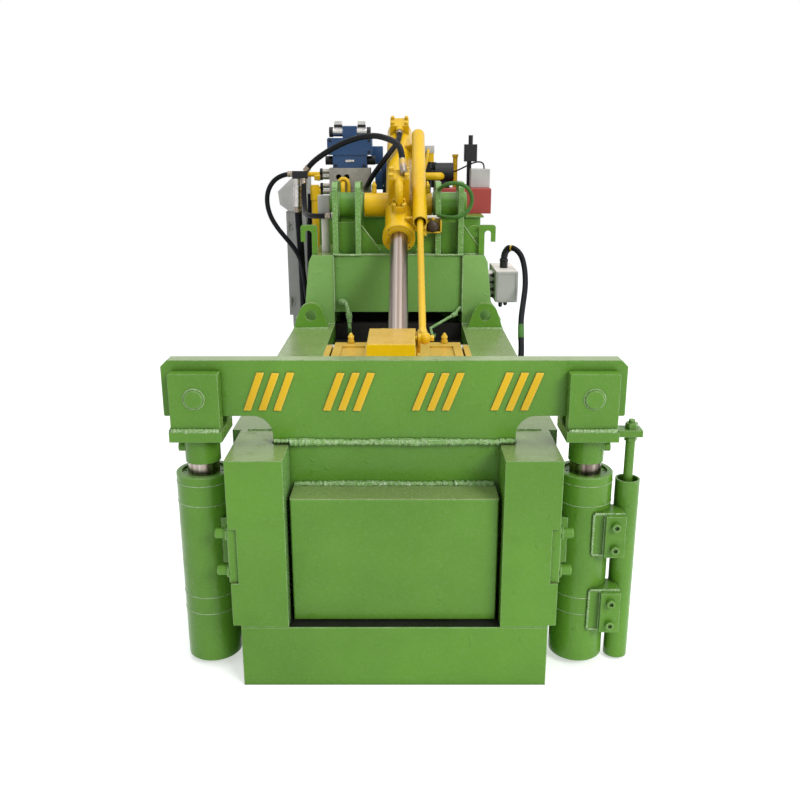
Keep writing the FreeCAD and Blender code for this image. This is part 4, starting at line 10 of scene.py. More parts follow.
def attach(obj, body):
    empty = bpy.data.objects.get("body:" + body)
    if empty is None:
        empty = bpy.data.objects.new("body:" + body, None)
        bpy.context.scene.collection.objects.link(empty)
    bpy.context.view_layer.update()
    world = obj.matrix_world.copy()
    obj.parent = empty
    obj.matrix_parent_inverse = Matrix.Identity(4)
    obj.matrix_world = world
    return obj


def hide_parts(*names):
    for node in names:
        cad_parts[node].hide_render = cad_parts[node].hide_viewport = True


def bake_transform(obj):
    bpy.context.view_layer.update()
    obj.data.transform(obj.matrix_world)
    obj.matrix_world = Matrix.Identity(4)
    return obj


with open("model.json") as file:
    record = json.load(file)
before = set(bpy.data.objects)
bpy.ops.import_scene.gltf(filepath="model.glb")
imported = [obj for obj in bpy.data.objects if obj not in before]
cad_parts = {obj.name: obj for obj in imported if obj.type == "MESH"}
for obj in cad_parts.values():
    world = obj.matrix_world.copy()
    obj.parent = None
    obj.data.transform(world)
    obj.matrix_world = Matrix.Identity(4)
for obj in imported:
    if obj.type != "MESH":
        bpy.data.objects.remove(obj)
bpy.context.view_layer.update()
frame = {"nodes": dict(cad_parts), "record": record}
NODES = frame["nodes"]
random.seed(7)

# Places on the solids that several pieces or rules share, in millimetres.
FRAME_TOP = 690
SILL_TOP = 188
GATE_CYLINDER_X = 551
CLEVIS_TOP = 743                            # of its base plate, where the welds lie
CLEVIS_PIN_Z = 834
CLAMPS_Z = (196, 436)                       # the gate sensor's two clamp blocks
TOWER_FRONT = 1692
TOWER_TOP = 1015
BEARING_FRONT = 1707
BEARING_PLATES = ((172, 197), (277, 302))   # x of both faces of each, to the left and right
BEARING_FACES = [x for faces in BEARING_PLATES for x in faces]
VALVE_X = -260                              # centre line of the main and the pilot valve
VALVE_FRONT = 2416

# The lid's cylinder rises towards the rear. GLAND is the middle of its front face.
LID_TILT_DEG = 29.3
TILT = math.radians(LID_TILT_DEG)
ALONG = Vector((0, math.cos(TILT), math.sin(TILT)))
SQUARE = Vector((0, -math.sin(TILT), math.cos(TILT)))
TRUNNION = Vector((4, 1832, 1235))
GLAND = TRUNNION - ALONG * 275
ELBOW_ALONG = 245                           # from GLAND to the arched hose's elbow


def on_barrel(x, along, square):
    """The place at x that lies so far along the lid's cylinder from GLAND, and square to its axis."""
    return Vector((x, GLAND.y, GLAND.z)) + ALONG * along + SQUARE * square


# ------------------------------------------------------------------ materials
class Nodes:
    """A node tree, with short names for what adds nodes to it."""

    def __init__(self, owner):
        owner.use_nodes = True
        self.tree = owner.node_tree
        self.tree.nodes.clear()

    def node(self, kind, **settings):
        made = self.tree.nodes.new(kind)
        for key, value in settings.items():
            setattr(made, key, value)
        return made

    def feed(self, socket, value):
        """Links an input to an output, or sets it to a number or a colour."""
        if isinstance(value, bpy.types.NodeSocket):
            self.tree.links.new(value, socket)
        elif isinstance(value, tuple):
            socket.default_value = (*value, 1.0)
        else:
            socket.default_value = value

    def fill(self, made, **values):
        """Feeds a node's inputs by their names, with _ for a space."""
        for key, value in values.items():
            self.feed(made.inputs[key.replace("_", " ")], value)

    def maths(self, operation, a, b):
        made = self.node("ShaderNodeMath", operation=operation)
        self.feed(made.inputs[0], a)
        self.feed(made.inputs[1], b)
        return made.outputs[0]

    def looking(self):
        """1 for a ray that shows what it meets, 0 for one that gathers light from it."""
        rays = self.node("ShaderNodeLightPath").outputs
        seen = self.maths("MAXIMUM", rays["Is Camera Ray"], rays["Is Glossy Ray"])
        return self.maths("MAXIMUM", seen, rays["Is Transmission Ray"])


class Maker(Nodes):
    """One material, with short names for the textures it is made of."""

    def __init__(self, name):
        self.material = bpy.data.materials.new(name)
        super().__init__(self.material)
        self.shader = self.node("ShaderNodeBsdfPrincipled")
        self.output = self.node("ShaderNodeOutputMaterial")
        self.feed(self.output.inputs[0], self.shader.outputs[0])
        self.place = self.node("ShaderNodeTexCoord").outputs["Object"]

    def noise(self, scale, detail=3.0, rough=0.55, stretch=None):
        place = self.place
        if stretch:
            mapping = self.node("ShaderNodeMapping")
            mapping.inputs["Scale"].default_value = stretch
            self.feed(mapping.inputs["Vector"], place)
            place = mapping.outputs[0]
        made = self.node("ShaderNodeTexNoise")
        self.fill(made, Scale=scale, Detail=detail, Roughness=rough, Vector=place)
        return made.outputs[0]

    def ramp(self, source, low, high, a=0.0, b=1.0):
        """Goes from a to b while the source goes from low to high."""
        made = self.node("ShaderNodeMapRange")
        self.fill(made, Value=source, From_Min=low, From_Max=high, To_Min=a, To_Max=b)
        return made.outputs[0]

    def mix(self, factor, a, b):
        """A colour between a and b. The node's sockets 6, 7 and output 2 are its colours."""
        made = self.node("ShaderNodeMix", data_type="RGBA")
        for index, value in ((0, factor), (6, a), (7, b)):
            self.feed(made.inputs[index], value)
        return made.outputs[2]

    def times(self, a, b):
        return self.maths("MULTIPLY", a, b)

    def rounded(self, radius):
        """The surface's normal, rounded over sharp edges."""
        bevel = self.node("ShaderNodeBevel", samples=4)
        bevel.inputs["Radius"].default_value = radius
        return bevel.outputs[0]

    def edges(self, rounded):
        """0 on flat faces, rising towards 1 near sharp edges."""
        dot = self.node("ShaderNodeVectorMath", operation="DOT_PRODUCT")
        self.feed(dot.inputs[0], rounded)
        self.feed(dot.inputs[1], self.node("ShaderNodeNewGeometry").outputs["True Normal"])
        return self.ramp(dot.outputs["Value"], 0.997, 0.92)

    def corners(self, distance, most):
        """Painted shade: 0 in the open, rising to most in inner corners."""
        made = self.node("ShaderNodeAmbientOcclusion", samples=4)
        made.inputs["Distance"].default_value = distance
        return self.ramp(made.outputs["AO"], 0.30, 0.80, most, 0.0)

    def bump(self, layers, normal=None):
        """Adds (height, strength, depth in metres) layers, one on another."""
        for source, strength, depth in layers:
            made = self.node("ShaderNodeBump")
            self.fill(made, Strength=strength, Distance=depth, Height=source)
            if normal is not None:
                self.fill(made, Normal=normal)
            normal = made.outputs[0]
        self.set(Normal=normal)

    def set(self, **values):
        """Feeds the shader's inputs."""
        self.fill(self.shader, **values)


def shade(colour, k):
    return tuple(min(1.0, c * k) for c in colour)


def enamel(
    name, colour, pale, rough=(0.20, 0.40), wave=0.003, grain=0.0006, edge=0.004, edge_highlight=0.85, flecks=0.0,
):
    """Brushed-on machine enamel over plate steel: uneven sheen, soft waves, lumps, painted highlights
    along the edges and painted shade in inner corners.
    """
    m = Maker(name)
    broad = m.noise(2.3, 3.0)
    cloud = m.noise(11.0, 5.0, 0.6)
    tone = m.mix(m.ramp(broad, 0.35, 0.68), shade(colour, 0.88), shade(colour, 1.1))
    tone = m.mix(m.ramp(cloud, 0.55, 0.78, 0.0, 0.3), tone, shade(colour, 0.72))
    if flecks:
        tone = m.mix(m.ramp(m.noise(150.0, 4.0, 0.7), 0.52, 0.62, 0.0, flecks), tone, pale)
    rounded = m.rounded(edge)
    # Painted highlights: the colour turns pale along sharp edges, in patches.
    patch = m.ramp(m.noise(38.0, 3.0), 0.3, 0.62, 0.3, 1.0)
    tone = m.mix(m.times(m.times(m.edges(rounded), patch), edge_highlight), tone, pale)
    # Painted shade: the colour darkens towards a third of itself in inner corners.
    tone = m.mix(m.corners(0.025, 0.75), tone, shade(colour, 0.30))
    m.set(Base_Color=tone, Roughness=m.ramp(cloud, 0.3, 0.75, *rough), Specular_IOR_Level=0.24)
    m.set(Coat_Weight=0.08, Coat_Roughness=0.12)
    waves = m.noise(5.5, 2.0)
    lumps = m.ramp(m.noise(34.0, 1.0, 0.4), 0.70, 0.80)
    fine = m.noise(120.0, 3.0)
    m.bump([(waves, 0.35, wave), (lumps, 0.6, 0.0022), (fine, 0.25, grain)], rounded)
    return m.material


def chrome(name, slope_deg):
    """A ground rod with painted reflections: brown-grey stripes run along its axis, which lies slope_deg
    above +Y.
    """
    m = Maker(name)
    mapping = m.node("ShaderNodeMapping", vector_type="TEXTURE")
    mapping.inputs["Rotation"].default_value = (math.radians(slope_deg), 0, 0)
    mapping.inputs["Scale"].default_value = (1, 200, 1)
    m.feed(mapping.inputs["Vector"], m.place)
    m.place = mapping.outputs[0]
    reflection_bands = m.noise(52.0, 2.0, 0.5)
    hair = m.noise(420.0, 2.0)
    # Painted reflections: dark brown and pale stripes along the rod.
    tone = m.mix(m.ramp(reflection_bands, 0.36, 0.50), (0.10, 0.075, 0.062), (0.27, 0.215, 0.185))
    tone = m.mix(m.ramp(reflection_bands, 0.53, 0.68), tone, (0.52, 0.46, 0.42))
    m.set(Base_Color=tone, Metallic=1.0, Roughness=m.ramp(hair, 0.3, 0.7, 0.24, 0.32))
    return m.material


def metal(name, colour, rough, streak=(3.0, 3.0, 60.0)):
    """Bare metal with fine streaks and darker spots."""
    m = Maker(name)
    lines = m.noise(9.0, 4.0, 0.6, streak)
    spots = m.noise(18.0, 4.0, 0.6)
    tone = m.mix(m.ramp(lines, 0.3, 0.7), shade(colour, 0.8), shade(colour, 1.15))
    tone = m.mix(m.ramp(spots, 0.5, 0.72, 0.0, 0.6), tone, shade(colour, 0.55))
    m.set(Base_Color=tone, Metallic=1.0, Roughness=m.ramp(lines, 0.3, 0.7, *rough))
    m.bump([(lines, 0.12, 0.0006)], m.rounded(0.002))
    return m.material


def rubber(name, colour):
    """A smooth hose cover with a little dust."""
    m = Maker(name)
    dust = m.noise(14.0, 4.0)
    tone = m.mix(m.ramp(dust, 0.45, 0.75, 0.0, 0.6), colour, shade(colour, 1.8))
    m.set(Base_Color=tone, Roughness=m.ramp(dust, 0.3, 0.7, 0.32, 0.57), Specular_IOR_Level=0.12)
    m.bump([(m.noise(260.0, 2.0), 0.25, 0.0005)])
    return m.material


def plain(name, colour, rough=(0.4, 0.55), grain=0.0003, metallic=0.0):
    """Factory paint or greasy iron, nearly one colour."""
    m = Maker(name)
    cloud = m.noise(8.0, 4.0)
    tone = m.mix(m.ramp(cloud, 0.35, 0.7), shade(colour, 0.9), shade(colour, 1.06))
    rounded = m.rounded(0.003)
    # Painted highlight: the colour turns paler along sharp edges.
    tone = m.mix(m.times(m.edges(rounded), 0.4), tone, shade(colour, 1.3))
    m.set(Base_Color=tone, Roughness=m.ramp(cloud, 0.3, 0.7, *rough))
    m.set(Metallic=metallic, Specular_IOR_Level=0.3)
    m.bump([(m.noise(160.0, 2.0), 0.3, grain)], rounded)
    return m.material


PALE_GREEN = (0.42, 0.58, 0.30)
EVEN = (20.0, 20.0, 20.0)   # a streak with no direction
MAT = {
    "green": enamel("green_enamel", (0.115, 0.284, 0.026), PALE_GREEN, flecks=0.07),
    # A lighter copy of the green, painted light for the cross plates' front faces.
    "lit_front_green": enamel("lit_front_green_enamel", (0.180, 0.385, 0.090), PALE_GREEN),
    "wing_green": enamel("sunlit_green_enamel", (0.225, 0.430, 0.118), PALE_GREEN),
    # A paler green for top faces: painted sheen, with dust.
    "sheen_top_green": enamel(
        "dusty_sheen_green_enamel", (0.215, 0.315, 0.095), (0.50, 0.56, 0.38), rough=(0.12, 0.30), flecks=0.25,
    ),
    # A lighter green with many pale specks: painted highlights, for faces that catch the light.
    "highlight_fleck_green": enamel("highlight_flecked_green_enamel", (0.14, 0.32, 0.06), (0.52, 0.66, 0.44), flecks=0.75),
    # A paler green with pale flecks for the weld beads: painted highlights.
    "weld": enamel(
        "highlighted_painted_weld", (0.17, 0.36, 0.08), (0.55, 0.68, 0.42),
        rough=(0.10, 0.24), wave=0.001, grain=0.003, flecks=0.7,
    ),
    "yellow": enamel("yellow_enamel", (0.740, 0.455, 0.006), (0.95, 0.76, 0.22), wave=0.002),
    # A brighter copy of the yellow, painted light for the guard block's front face.
    "lit_front_yellow": enamel("lit_front_yellow_enamel", (0.90, 0.60, 0.008), (0.97, 0.80, 0.28), wave=0.002),
    # A paler yellow for top faces: painted sheen, with dust.
    "sheen_top_yellow": enamel(
        "dusty_sheen_yellow_enamel", (0.72, 0.45, 0.085), (0.92, 0.76, 0.35), wave=0.002, flecks=0.2,
    ),
    "chrome": chrome("rod_chrome", LID_TILT_DEG),
    "chrome_up": chrome("upright_rod_chrome", 90.0),
    "chrome_level": chrome("level_rod_chrome", 0.0),
    "steel": metal("machined_steel", (0.34, 0.32, 0.28), (0.32, 0.5)),
    "bright": metal("zinc_plate", (0.62, 0.60, 0.57), (0.18, 0.32), EVEN),
    "ferrule": metal("worn_ferrule", (0.30, 0.25, 0.20), (0.28, 0.45), EVEN),
    "dark": plain("greasy_steel_and_pit_shade", (0.016, 0.015, 0.013), (0.3, 0.7), grain=0.003, metallic=0.2),
    "black": plain("black_enamel", (0.010, 0.010, 0.012), (0.3, 0.5)),
    "hose": rubber("hose_rubber", (0.0042, 0.0048, 0.0066)),
    "rust": plain("oily_brown_iron", (0.055, 0.038, 0.026), (0.2, 0.5), grain=0.002, metallic=0.3),
    "green_hose": rubber("green_hose_cover", (0.055, 0.150, 0.030)),
    "blue": enamel(
        "blue_enamel", (0.026, 0.070, 0.170), (0.10, 0.18, 0.34), wave=0.001, edge=0.002, edge_highlight=0.5,
    ),
    "grey": plain("grey_powder", (0.46, 0.45, 0.435)),
    "pale_grey": plain("pale_grey_powder", (0.60, 0.59, 0.575)),
    "beige": plain("beige_coat", (0.84, 0.77, 0.71)),
    "red": plain("red_coat", (0.36, 0.055, 0.045), (0.3, 0.45)),
    "gauge": plain("white_plate", (0.72, 0.72, 0.70)),
}

BY_SLOT = {
    "green_paint": "green", "yellow_paint": "yellow", "chrome_rod": "chrome", "plain_steel": "steel",
    "dark_steel": "dark", "black_rubber": "hose", "green_rubber": "green_hose", "blue_paint": "blue",
    "black_paint": "black", "grey_paint": "grey", "beige_paint": "beige", "red_paint": "red",
}
for entry in frame["record"]["subparts"]:
    node = NODES[entry["node"]]
    node.data.materials.clear()
    node.data.materials.append(MAT[BY_SLOT[entry["material_slot"]]])


def repaint(name, *rules):
    """Gives the faces whose centre, in millimetres, and normal pass a rule's test another material."""
    mesh = NODES[name].data
    for test, key in rules:
        index = len(mesh.materials)
        mesh.materials.append(MAT[key])
        for face in mesh.polygons:
            c = face.center * 1000
            if test(c.x, c.y, c.z, face.normal):
                face.material_index = index


# ------------------------------------------------------------------ mesh helpers, all in millimetres
SHARP_DEG = 38              # a steeper fold between faces stays a sharp edge


def add(name, data):
    obj = bpy.data.objects.new(name, data)
    bpy.context.scene.collection.objects.link(obj)
    return obj


def to_mesh(name, bm):
    mesh = bpy.data.meshes.new(name)
    bmesh.ops.recalc_face_normals(bm, faces=bm.faces)
    bm.to_mesh(mesh)
    bm.free()
    for face in mesh.polygons:
        face.use_smooth = True
    return mesh


def keep(bm, name, body, key):
    """Turns what was built into a piece that rides on a body, with a material."""
    mesh = to_mesh(name, bm)
    mesh.materials.append(MAT[key])
    mesh.set_sharp_from_angle(angle=math.radians(SHARP_DEG))
    obj = add(name, mesh)
    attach(obj, body)
    return obj


def ring_at(bm, centre, u, w, radius, sides):
    angles = [2 * math.pi * k / sides for k in range(sides)]
    return [bm.verts.new((centre + (u * math.cos(a) + w * math.sin(a)) * radius) / 1000) for a in angles]


def skin(bm, rings):
    """Joins rings of vertices with faces and closes both ends."""
    sides = len(rings[0])
    for a, b in zip(rings, rings[1:]):
        for k in range(sides):
            bm.faces.new((a[k], a[(k + 1) % sides], b[(k + 1) % sides], b[k]))
    bm.faces.new(rings[0][::-1])
    bm.faces.new(rings[-1])


def sweep(bm, points, radius_at, sides):
    """A tube along points; radius_at(distance) gives its radius there."""
    points = [Vector(p) for p in points]
    rings = []
    travelled = 0.0
    up = None
    for i, p in enumerate(points):
        before = points[max(0, i - 1)]
        after = points[min(len(points) - 1, i + 1)]
        tangent = (after - before).normalized()
        if up is None:
            up = tangent.orthogonal().normalized()
        up = (up - tangent * up.dot(tangent)).normalized()
        if i:
            travelled += (p - points[i - 1]).length
        rings.append(ring_at(bm, p, up, tangent.cross(up), radius_at(travelled), sides))
    skin(bm, rings)


def divided(points, step):
    """The corners of a broken line, with points between them about a step apart."""
    out = []
    for a, b in zip(points, points[1:]):
        a, b = Vector(a), Vector(b)
        n = max(1, round((b - a).length / step))
        out += [a.lerp(b, i / n) for i in range(n)]
    return out + [Vector(points[-1])]


def bead(bm, points, radius):
    """A hand-laid weld: ripples about a radius apart, uneven in width and line."""
    phase = random.random() * 6
    wobble = random.uniform(40.0, 70.0)

    def at(s):
        ripple = 0.30 * abs(math.sin(s * math.pi / (radius * 1.6) + phase))
        return radius * (0.74 + ripple + 0.14 * math.sin(s / wobble + phase) + random.uniform(-0.05, 0.05))

    line = divided(points, radius * 0.6)
    shaken = [p + Vector([random.uniform(-0.12, 0.12) * radius for _ in range(3)]) for p in line]
    sweep(bm, shaken, at, 8)


def circle(centre, normal, radius, count=40):
    """A closed line for a bead round a shaft or a pipe."""
    normal = Vector(normal).normalized()
    u = normal.orthogonal().normalized()
    w = normal.cross(u)
    angles = [2 * math.pi * k / count for k in range(count + 1)]
    return [Vector(centre) + (u * math.cos(a) + w * math.sin(a)) * radius for a in angles]


def lathe(bm, base, axis, profile, sides):
    """Turns (distance along, radius) pairs about an axis through base."""
    base, axis = Vector(base), Vector(axis).normalized()
    u = axis.orthogonal().normalized()
    w = axis.cross(u)
    skin(bm, [ring_at(bm, base + axis * along, u, w, radius, sides) for along, radius in profile])


def plate(bm, low, high, soft=1.5):
    """A block between two corners, with its edges softened."""
    made = bmesh.ops.create_cube(bm, size=1.0)["verts"]
    size = [(b - a) / 1000 for a, b in zip(low, high)]
    middle = Vector([(a + b) / 2000 for a, b in zip(low, high)])
    bmesh.ops.transform(bm, matrix=Matrix.Translation(middle) @ Matrix.Diagonal((*size, 1)), verts=made)
    edges = list(dict.fromkeys(e for v in made for e in v.link_edges))
    bmesh.ops.bevel(bm, geom=edges, offset=soft / 1000, segments=2, profile=0.6, affect="EDGES")


# ------------------------------------------------------------------ hoses
SLEEVE_STEP = 2.5           # between the rings of a sleeve
FERRULE_WALL = 2.6          # how far a ferrule stands out of its hose
CRIMP_PITCH = 18            # one pressed ring in each of these lengths
CRIMP_DEPTH = 1.3
FERRULE_TAPER = 1.6         # how much thinner its last 5 mm are


def spline(name, points_mm):
    """The route's own smooth line, as a curve with no thickness."""
    curve = bpy.data.curves.new(name, "CURVE")
    curve.dimensions = "3D"
    curve.resolution_u = 12
    line = curve.splines.new("NURBS")
    line.points.add(len(points_mm) - 1)
    for point, p in zip(line.points, points_mm):
        point.co = (p[0] / 1000, p[1] / 1000, p[2] / 1000, 1.0)
    line.order_u = 3
    line.use_endpoint_u = True
    return curve


def path_along(points_mm):
    """Points of the route's own smooth line, in millimetres."""
    line = add("line", spline("line", points_mm))
    bpy.context.view_layer.update()
    read = bpy.data.meshes.new_from_object(line)
    path = [Vector(v.co) * 1000 for v in read.vertices]
    bpy.data.objects.remove(line)
    bpy.data.meshes.remove(read)
    return path


def sleeve(name, path, start, end, radius_at, body, key, sides=24):
    """A piece on a hose, from start to end along its path."""
    travelled = 0.0
    points = []
    for a, b in zip(path, path[1:]):
        step = (b - a).length
        n = max(1, round(step / SLEEVE_STEP))
        points += [a.lerp(b, i / n) for i in range(n) if start <= travelled + step * i / n <= end]
        travelled += step
    bm = bmesh.new()
    sweep(bm, points, radius_at, sides)
    return keep(bm, name, body, key)


def ferrule(name, path, radius, body="frame", length=30.0):
    """A crimped metal sleeve at the start of a hose's path."""
    def at(s):
        crimp = CRIMP_DEPTH if 9 < s % CRIMP_PITCH < 16 else 0.0
        return radius + FERRULE_WALL - crimp - (FERRULE_TAPER if s > length - 5 else 0.0)

    return sleeve(name, path, 0.0, length, at, body, "ferrule")


def hose(name, points_mm, radius_mm, node, key="hose"):
    """A free hose between two fittings on the frame."""
    curve = spline(name, points_mm)
    curve.bevel_depth = radius_mm / 1000
    curve.bevel_resolution = 5
    curve.use_fill_caps = True
    curve.materials.append(MAT[key])
    obj = add(name, curve)
    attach(obj, "frame")
    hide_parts(node)


def bending_hose(name, points_mm, radius_mm, node, upper_mm):
    """A free hose that bridges the frame, from start, and the swinging lid cylinder, from end."""
    path = path_along(points_mm)
    on_it = [
        ferrule(name + "_upper_ferrule", path, radius_mm, "lid_barrel", upper_mm),
        ferrule(name + "_lower_ferrule", path[::-1], radius_mm),
    ]
    bm = bmesh.new()
    sweep(bm, path, lambda s: radius_mm, 20)
    mesh = to_mesh(name, bm)
    mesh.materials.append(MAT["hose"])
    obj = add(name, mesh)
    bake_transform(obj)
    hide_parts(node)


# Routes, in millimetres. The arched hose leaves its elbow in a straight line, and so does the cap end
# hose its block.
elbow = on_barrel(24, ELBOW_ALONG, 204)
arch_start = Vector((20, 1735, 1436))
ARCH = [arch_start, arch_start + (arch_start - elbow).normalized() * 50] + [Vector(p) for p in (
    (4, 1802, 1503), (-18, 1850, 1521), (-56, 1912, 1537), (-117, 1982, 1551), (-212, 2072, 1538),
    (-311, 2142, 1500), (-396, 2200, 1452), (-450, 2240, 1412), (-478, 2252, 1378),
)]
cap_start = on_barrel(4, 816, 79.75)
CAP = [cap_start, cap_start - ALONG * 42] + [Vector(p) for p in (
    (-6, 2144, 1518), (-45, 2094, 1466), (-95, 2088, 1404), (-137, 2127, 1347), (-163, 2210, 1302),
    (-173, 2356, 1289),
)]
LOOP = [
    (-545, 2252, 1363), (-582, 2252, 1363), (-638, 2247, 1337), (-673, 2237, 1285), (-681, 2232, 1222),
    (-667, 2232, 1155), (-632, 2232, 1093), (-584, 2230, 1035), (-536, 2228, 975), (-506, 2224, 905),
    (-496, 2222, 810), (-488, 2222, 728), (-472, 2222, 650),
]
RISER = [
    (-523, 2252, 1200), (-523, 2255, 1150), (-518, 2262, 1020), (-514, 2266, 880), (-512, 2268, 740),
    (-512, 2272, 620), (-498, 2276, 520), (-436, 2280, 448), (-340, 2280, 428), (-240, 2280, 430),
    (-154, 2280, 430),
]
CROSS = [
    (-487, 2234, 1340), (-487, 2225, 1290), (-483, 2193, 1234), (-475, 2140, 1195), (-464, 2060, 1179),
    (-431, 1862, 1184), (-397, 1810, 1185), (-349, 1777, 1187), (-311, 1762, 1190),
]
DROP = [
    (-462, 2290, 1262), (-464, 2290, 1200), (-470, 2290, 1090), (-474, 2290, 980), (-476, 2290, 870),
    (-474, 2290, 770), (-462, 2290, 685), (-442, 2290, 605),
]
GREEN_LOOP = [
    (187, 1693, 1312), (193, 1680, 1320), (216, 1649, 1337), (254, 1632, 1344), (295, 1633, 1335),
    (325, 1638, 1307), (335, 1641, 1267), (323, 1640, 1228), (293, 1637, 1201), (255, 1638, 1191),
    (219, 1654, 1191), (193, 1683, 1195), (187, 1693, 1197),
]
CONDUIT = [
    (523, 1982, 949), (523, 1982, 985), (540, 1970, 1018), (566, 1942, 1022), (596, 1912, 996),
    (610, 1882, 951), (612, 1832, 900), (607, 1782, 849), (590, 1712, 789), (572, 1632, 733),
    (562, 1545, 680), (556, 1465, 626), (546, 1402, 580), (502, 1378, 556),
]
LEAD = [
    (462, 2532, 1382), (462, 2532, 1400), (450, 2516, 1416), (424, 2504, 1420), (390, 2502, 1410),
    (354, 2506, 1392), (322, 2516, 1376), (294, 2528, 1366),
]
RISER_R = 18.5
SIDE_HOSE_R = 12.5


def hoses():
    bending_hose(
        "arch_hose", ARCH, radius_mm=14, node="hose_arch",
        upper_mm=14,
    )
    bending_hose(
        "cap_end_hose", CAP, radius_mm=13, node="hose_cap_end",
        upper_mm=26,
    )
    sleeves = [ferrule("riser_ferrule", path_along(RISER), RISER_R)]
    hose("riser_hose", RISER, RISER_R, node="hose_riser")
    sleeves = [ferrule("loop_ferrule", path_along(LOOP), SIDE_HOSE_R)]
    hose("loop_hose", LOOP, SIDE_HOSE_R, node="tower_hoses")
    path = path_along(CROSS)
    sleeves = [
        ferrule("cross_upper_ferrule", path, SIDE_HOSE_R),
        ferrule("cross_lower_ferrule", path[::-1], SIDE_HOSE_R),
    ]
    hose("cross_hose", CROSS, SIDE_HOSE_R, node="tower_hoses")
    hose("drop_hose", DROP, SIDE_HOSE_R, node="tower_hoses")
    hose(
        "grease_hose", GREEN_LOOP, radius_mm=9, node="green_hose", key="green_hose",
    )

    def gland(s):
        return 21.0 - (2.5 if s > 15 else 0)

    def ribbed(s):
        return 15.8 + 1.6 * (s % 9 > 4.5)

    path = path_along(CONDUIT)
    sleeves = [
        sleeve("conduit_gland", path, 0, 20, gland, "frame", "black", 6),
        sleeve("conduit_boot", path, 20, 82, ribbed, "frame", "black"),
        sleeve("conduit_tie", path, 92, 102, lambda s: 15.2, "frame", "yellow"),
        sleeve("conduit_tape", path, 600, 690, lambda s: 14.3, "frame", "green_hose"),
    ]
    hose(
        "wall_conduit", CONDUIT, radius_mm=13.5, node="cables",
    )
    hose("terminal_lead", LEAD, radius_mm=4, node="cables")


# ------------------------------------------------------------------ welds
HOUSING_WELD_R = 60         # round the trunnions' bearing housings
GUSSET_Y = 1742
GUSSETS = (                 # the upper and lower end of each slope, as (x, z)
    ((303, 1150), (389, 1034)),
    ((172, 1148), (84, 1034)),
    ((-172, 1148), (-84, 1034)),
)


def frame_welds():
    """Beads on the press frame, the walls, the tower and the gate cylinders."""
    bm = bmesh.new()
    for s in (-1, 1):
        bead(bm, [(s * 303, 102, FRAME_TOP), (s * 436, 102, FRAME_TOP)], 5)
        bead(bm, [(s * 320, 1598, FRAME_TOP), (s * 484, 1598, FRAME_TOP)], 6)
        bead(bm, [(s * 300, TOWER_FRONT, FRAME_TOP + 1), (s * 484, TOWER_FRONT, FRAME_TOP + 1)], 7)
        bead(bm, [(s * 300, TOWER_FRONT, 750), (s * 300, TOWER_FRONT, 1010)], 4)
        for x in BEARING_FACES:
            bead(bm, [(s * x, 1712, TOWER_TOP), (s * x, 1955, TOWER_TOP)], 5)
        bead(bm, [(s * 197, BEARING_FRONT, TOWER_TOP), (s * 277, BEARING_FRONT, TOWER_TOP)], 5)
        for near, far in BEARING_PLATES:
            bead(bm, [(s * x, BEARING_FRONT, TOWER_TOP + 1) for x in (near, far)], 6)
        for x in reversed(BEARING_FACES):
            bead(bm, circle((s * x, TRUNNION.y, TRUNNION.z), (1, 0, 0), HOUSING_WELD_R), 3.5)
        bead(bm, [(s * 172, 1741, TOWER_TOP + 1), (s * 84, 1741, TOWER_TOP + 1)], 5)
        for z in (518, 579, 230, 177):
            bead(bm, circle((s * GATE_CYLINDER_X, 0, z), (0, 0, 1), 78.6, 72), 1.7)
    for ends in GUSSETS:
        bead(bm, [(x, GUSSET_Y, z) for x, z in ends], 3)
    bead(bm, [(302, 1741, TOWER_TOP + 1), (386, 1741, TOWER_TOP + 1)], 5)
    for z in CLAMPS_Z:
        for edge in (z - 63, z + 63):
            bead(bm, [(568, -83, edge), (654, -83, edge)], 4.5)
    for z in CLAMPS_Z:
        bead(bm, [(567, -82, z - 62), (567, -82, z + 62)], 4)
        bead(bm, [(598, -86, z - 62), (598, -86, z + 62)], 3)
    bead(bm, [(-300, 1712, TOWER_TOP), (300, 1712, TOWER_TOP)], 5)
    for s in (-1, 1):
        for y in (-60, 150):
            bead(bm, [(s * 436, y, SILL_TOP), (s * 436, y + 60, SILL_TOP)], 5)
    keep(bm, "frame_welds", "frame", "weld")


def gate_welds():
    """Beads between the gate's block, plate, beam and clevises."""
    bm = bmesh.new()
    bead(bm, [(-288, -21, 566), (288, -21, 566)], 11)
    bead(bm, [(-299, -28, 697), (299, -28, 697)], 10.5)
    for s in (-1, 1):
        bead(bm, [(s * 295, -28.5, 700), (s * 342, -28.5, 700)], 7.5)
        for y in (-72, 72):
            bead(bm, [(s * 484, y, CLEVIS_TOP), (s * 618, y, CLEVIS_TOP)], 7)
        bead(bm, [(s * 622, -66, CLEVIS_TOP), (s * 622, -28, CLEVIS_TOP)], 5)
        bead(bm, circle((s * GATE_CYLINDER_X, -68, CLEVIS_PIN_Z), (0, 1, 0), 28.5), 3)
        bead(bm, circle((s * GATE_CYLINDER_X, 0, 711), (0, 0, 1), 51, 60), 4)
    bead(bm, [(624, -33, 712), (624, -33, 733)], 5)
    bead(bm, [(626, -33, 733), (626, 17, 733)], 5)
    keep(bm, "gate_welds", "gate", "weld")


# ------------------------------------------------------------------ beam marks
MARK_CENTRES = (-350.0, -127.0, 122.0, 342.0)
MARK_BACK = -24.5           # just inside the beam's front
MARK_FACE = -30.5
BAR_PITCH = 42
BAR_LEAN = 20.0             # how far a bar's ends lie to the left and right of its middle


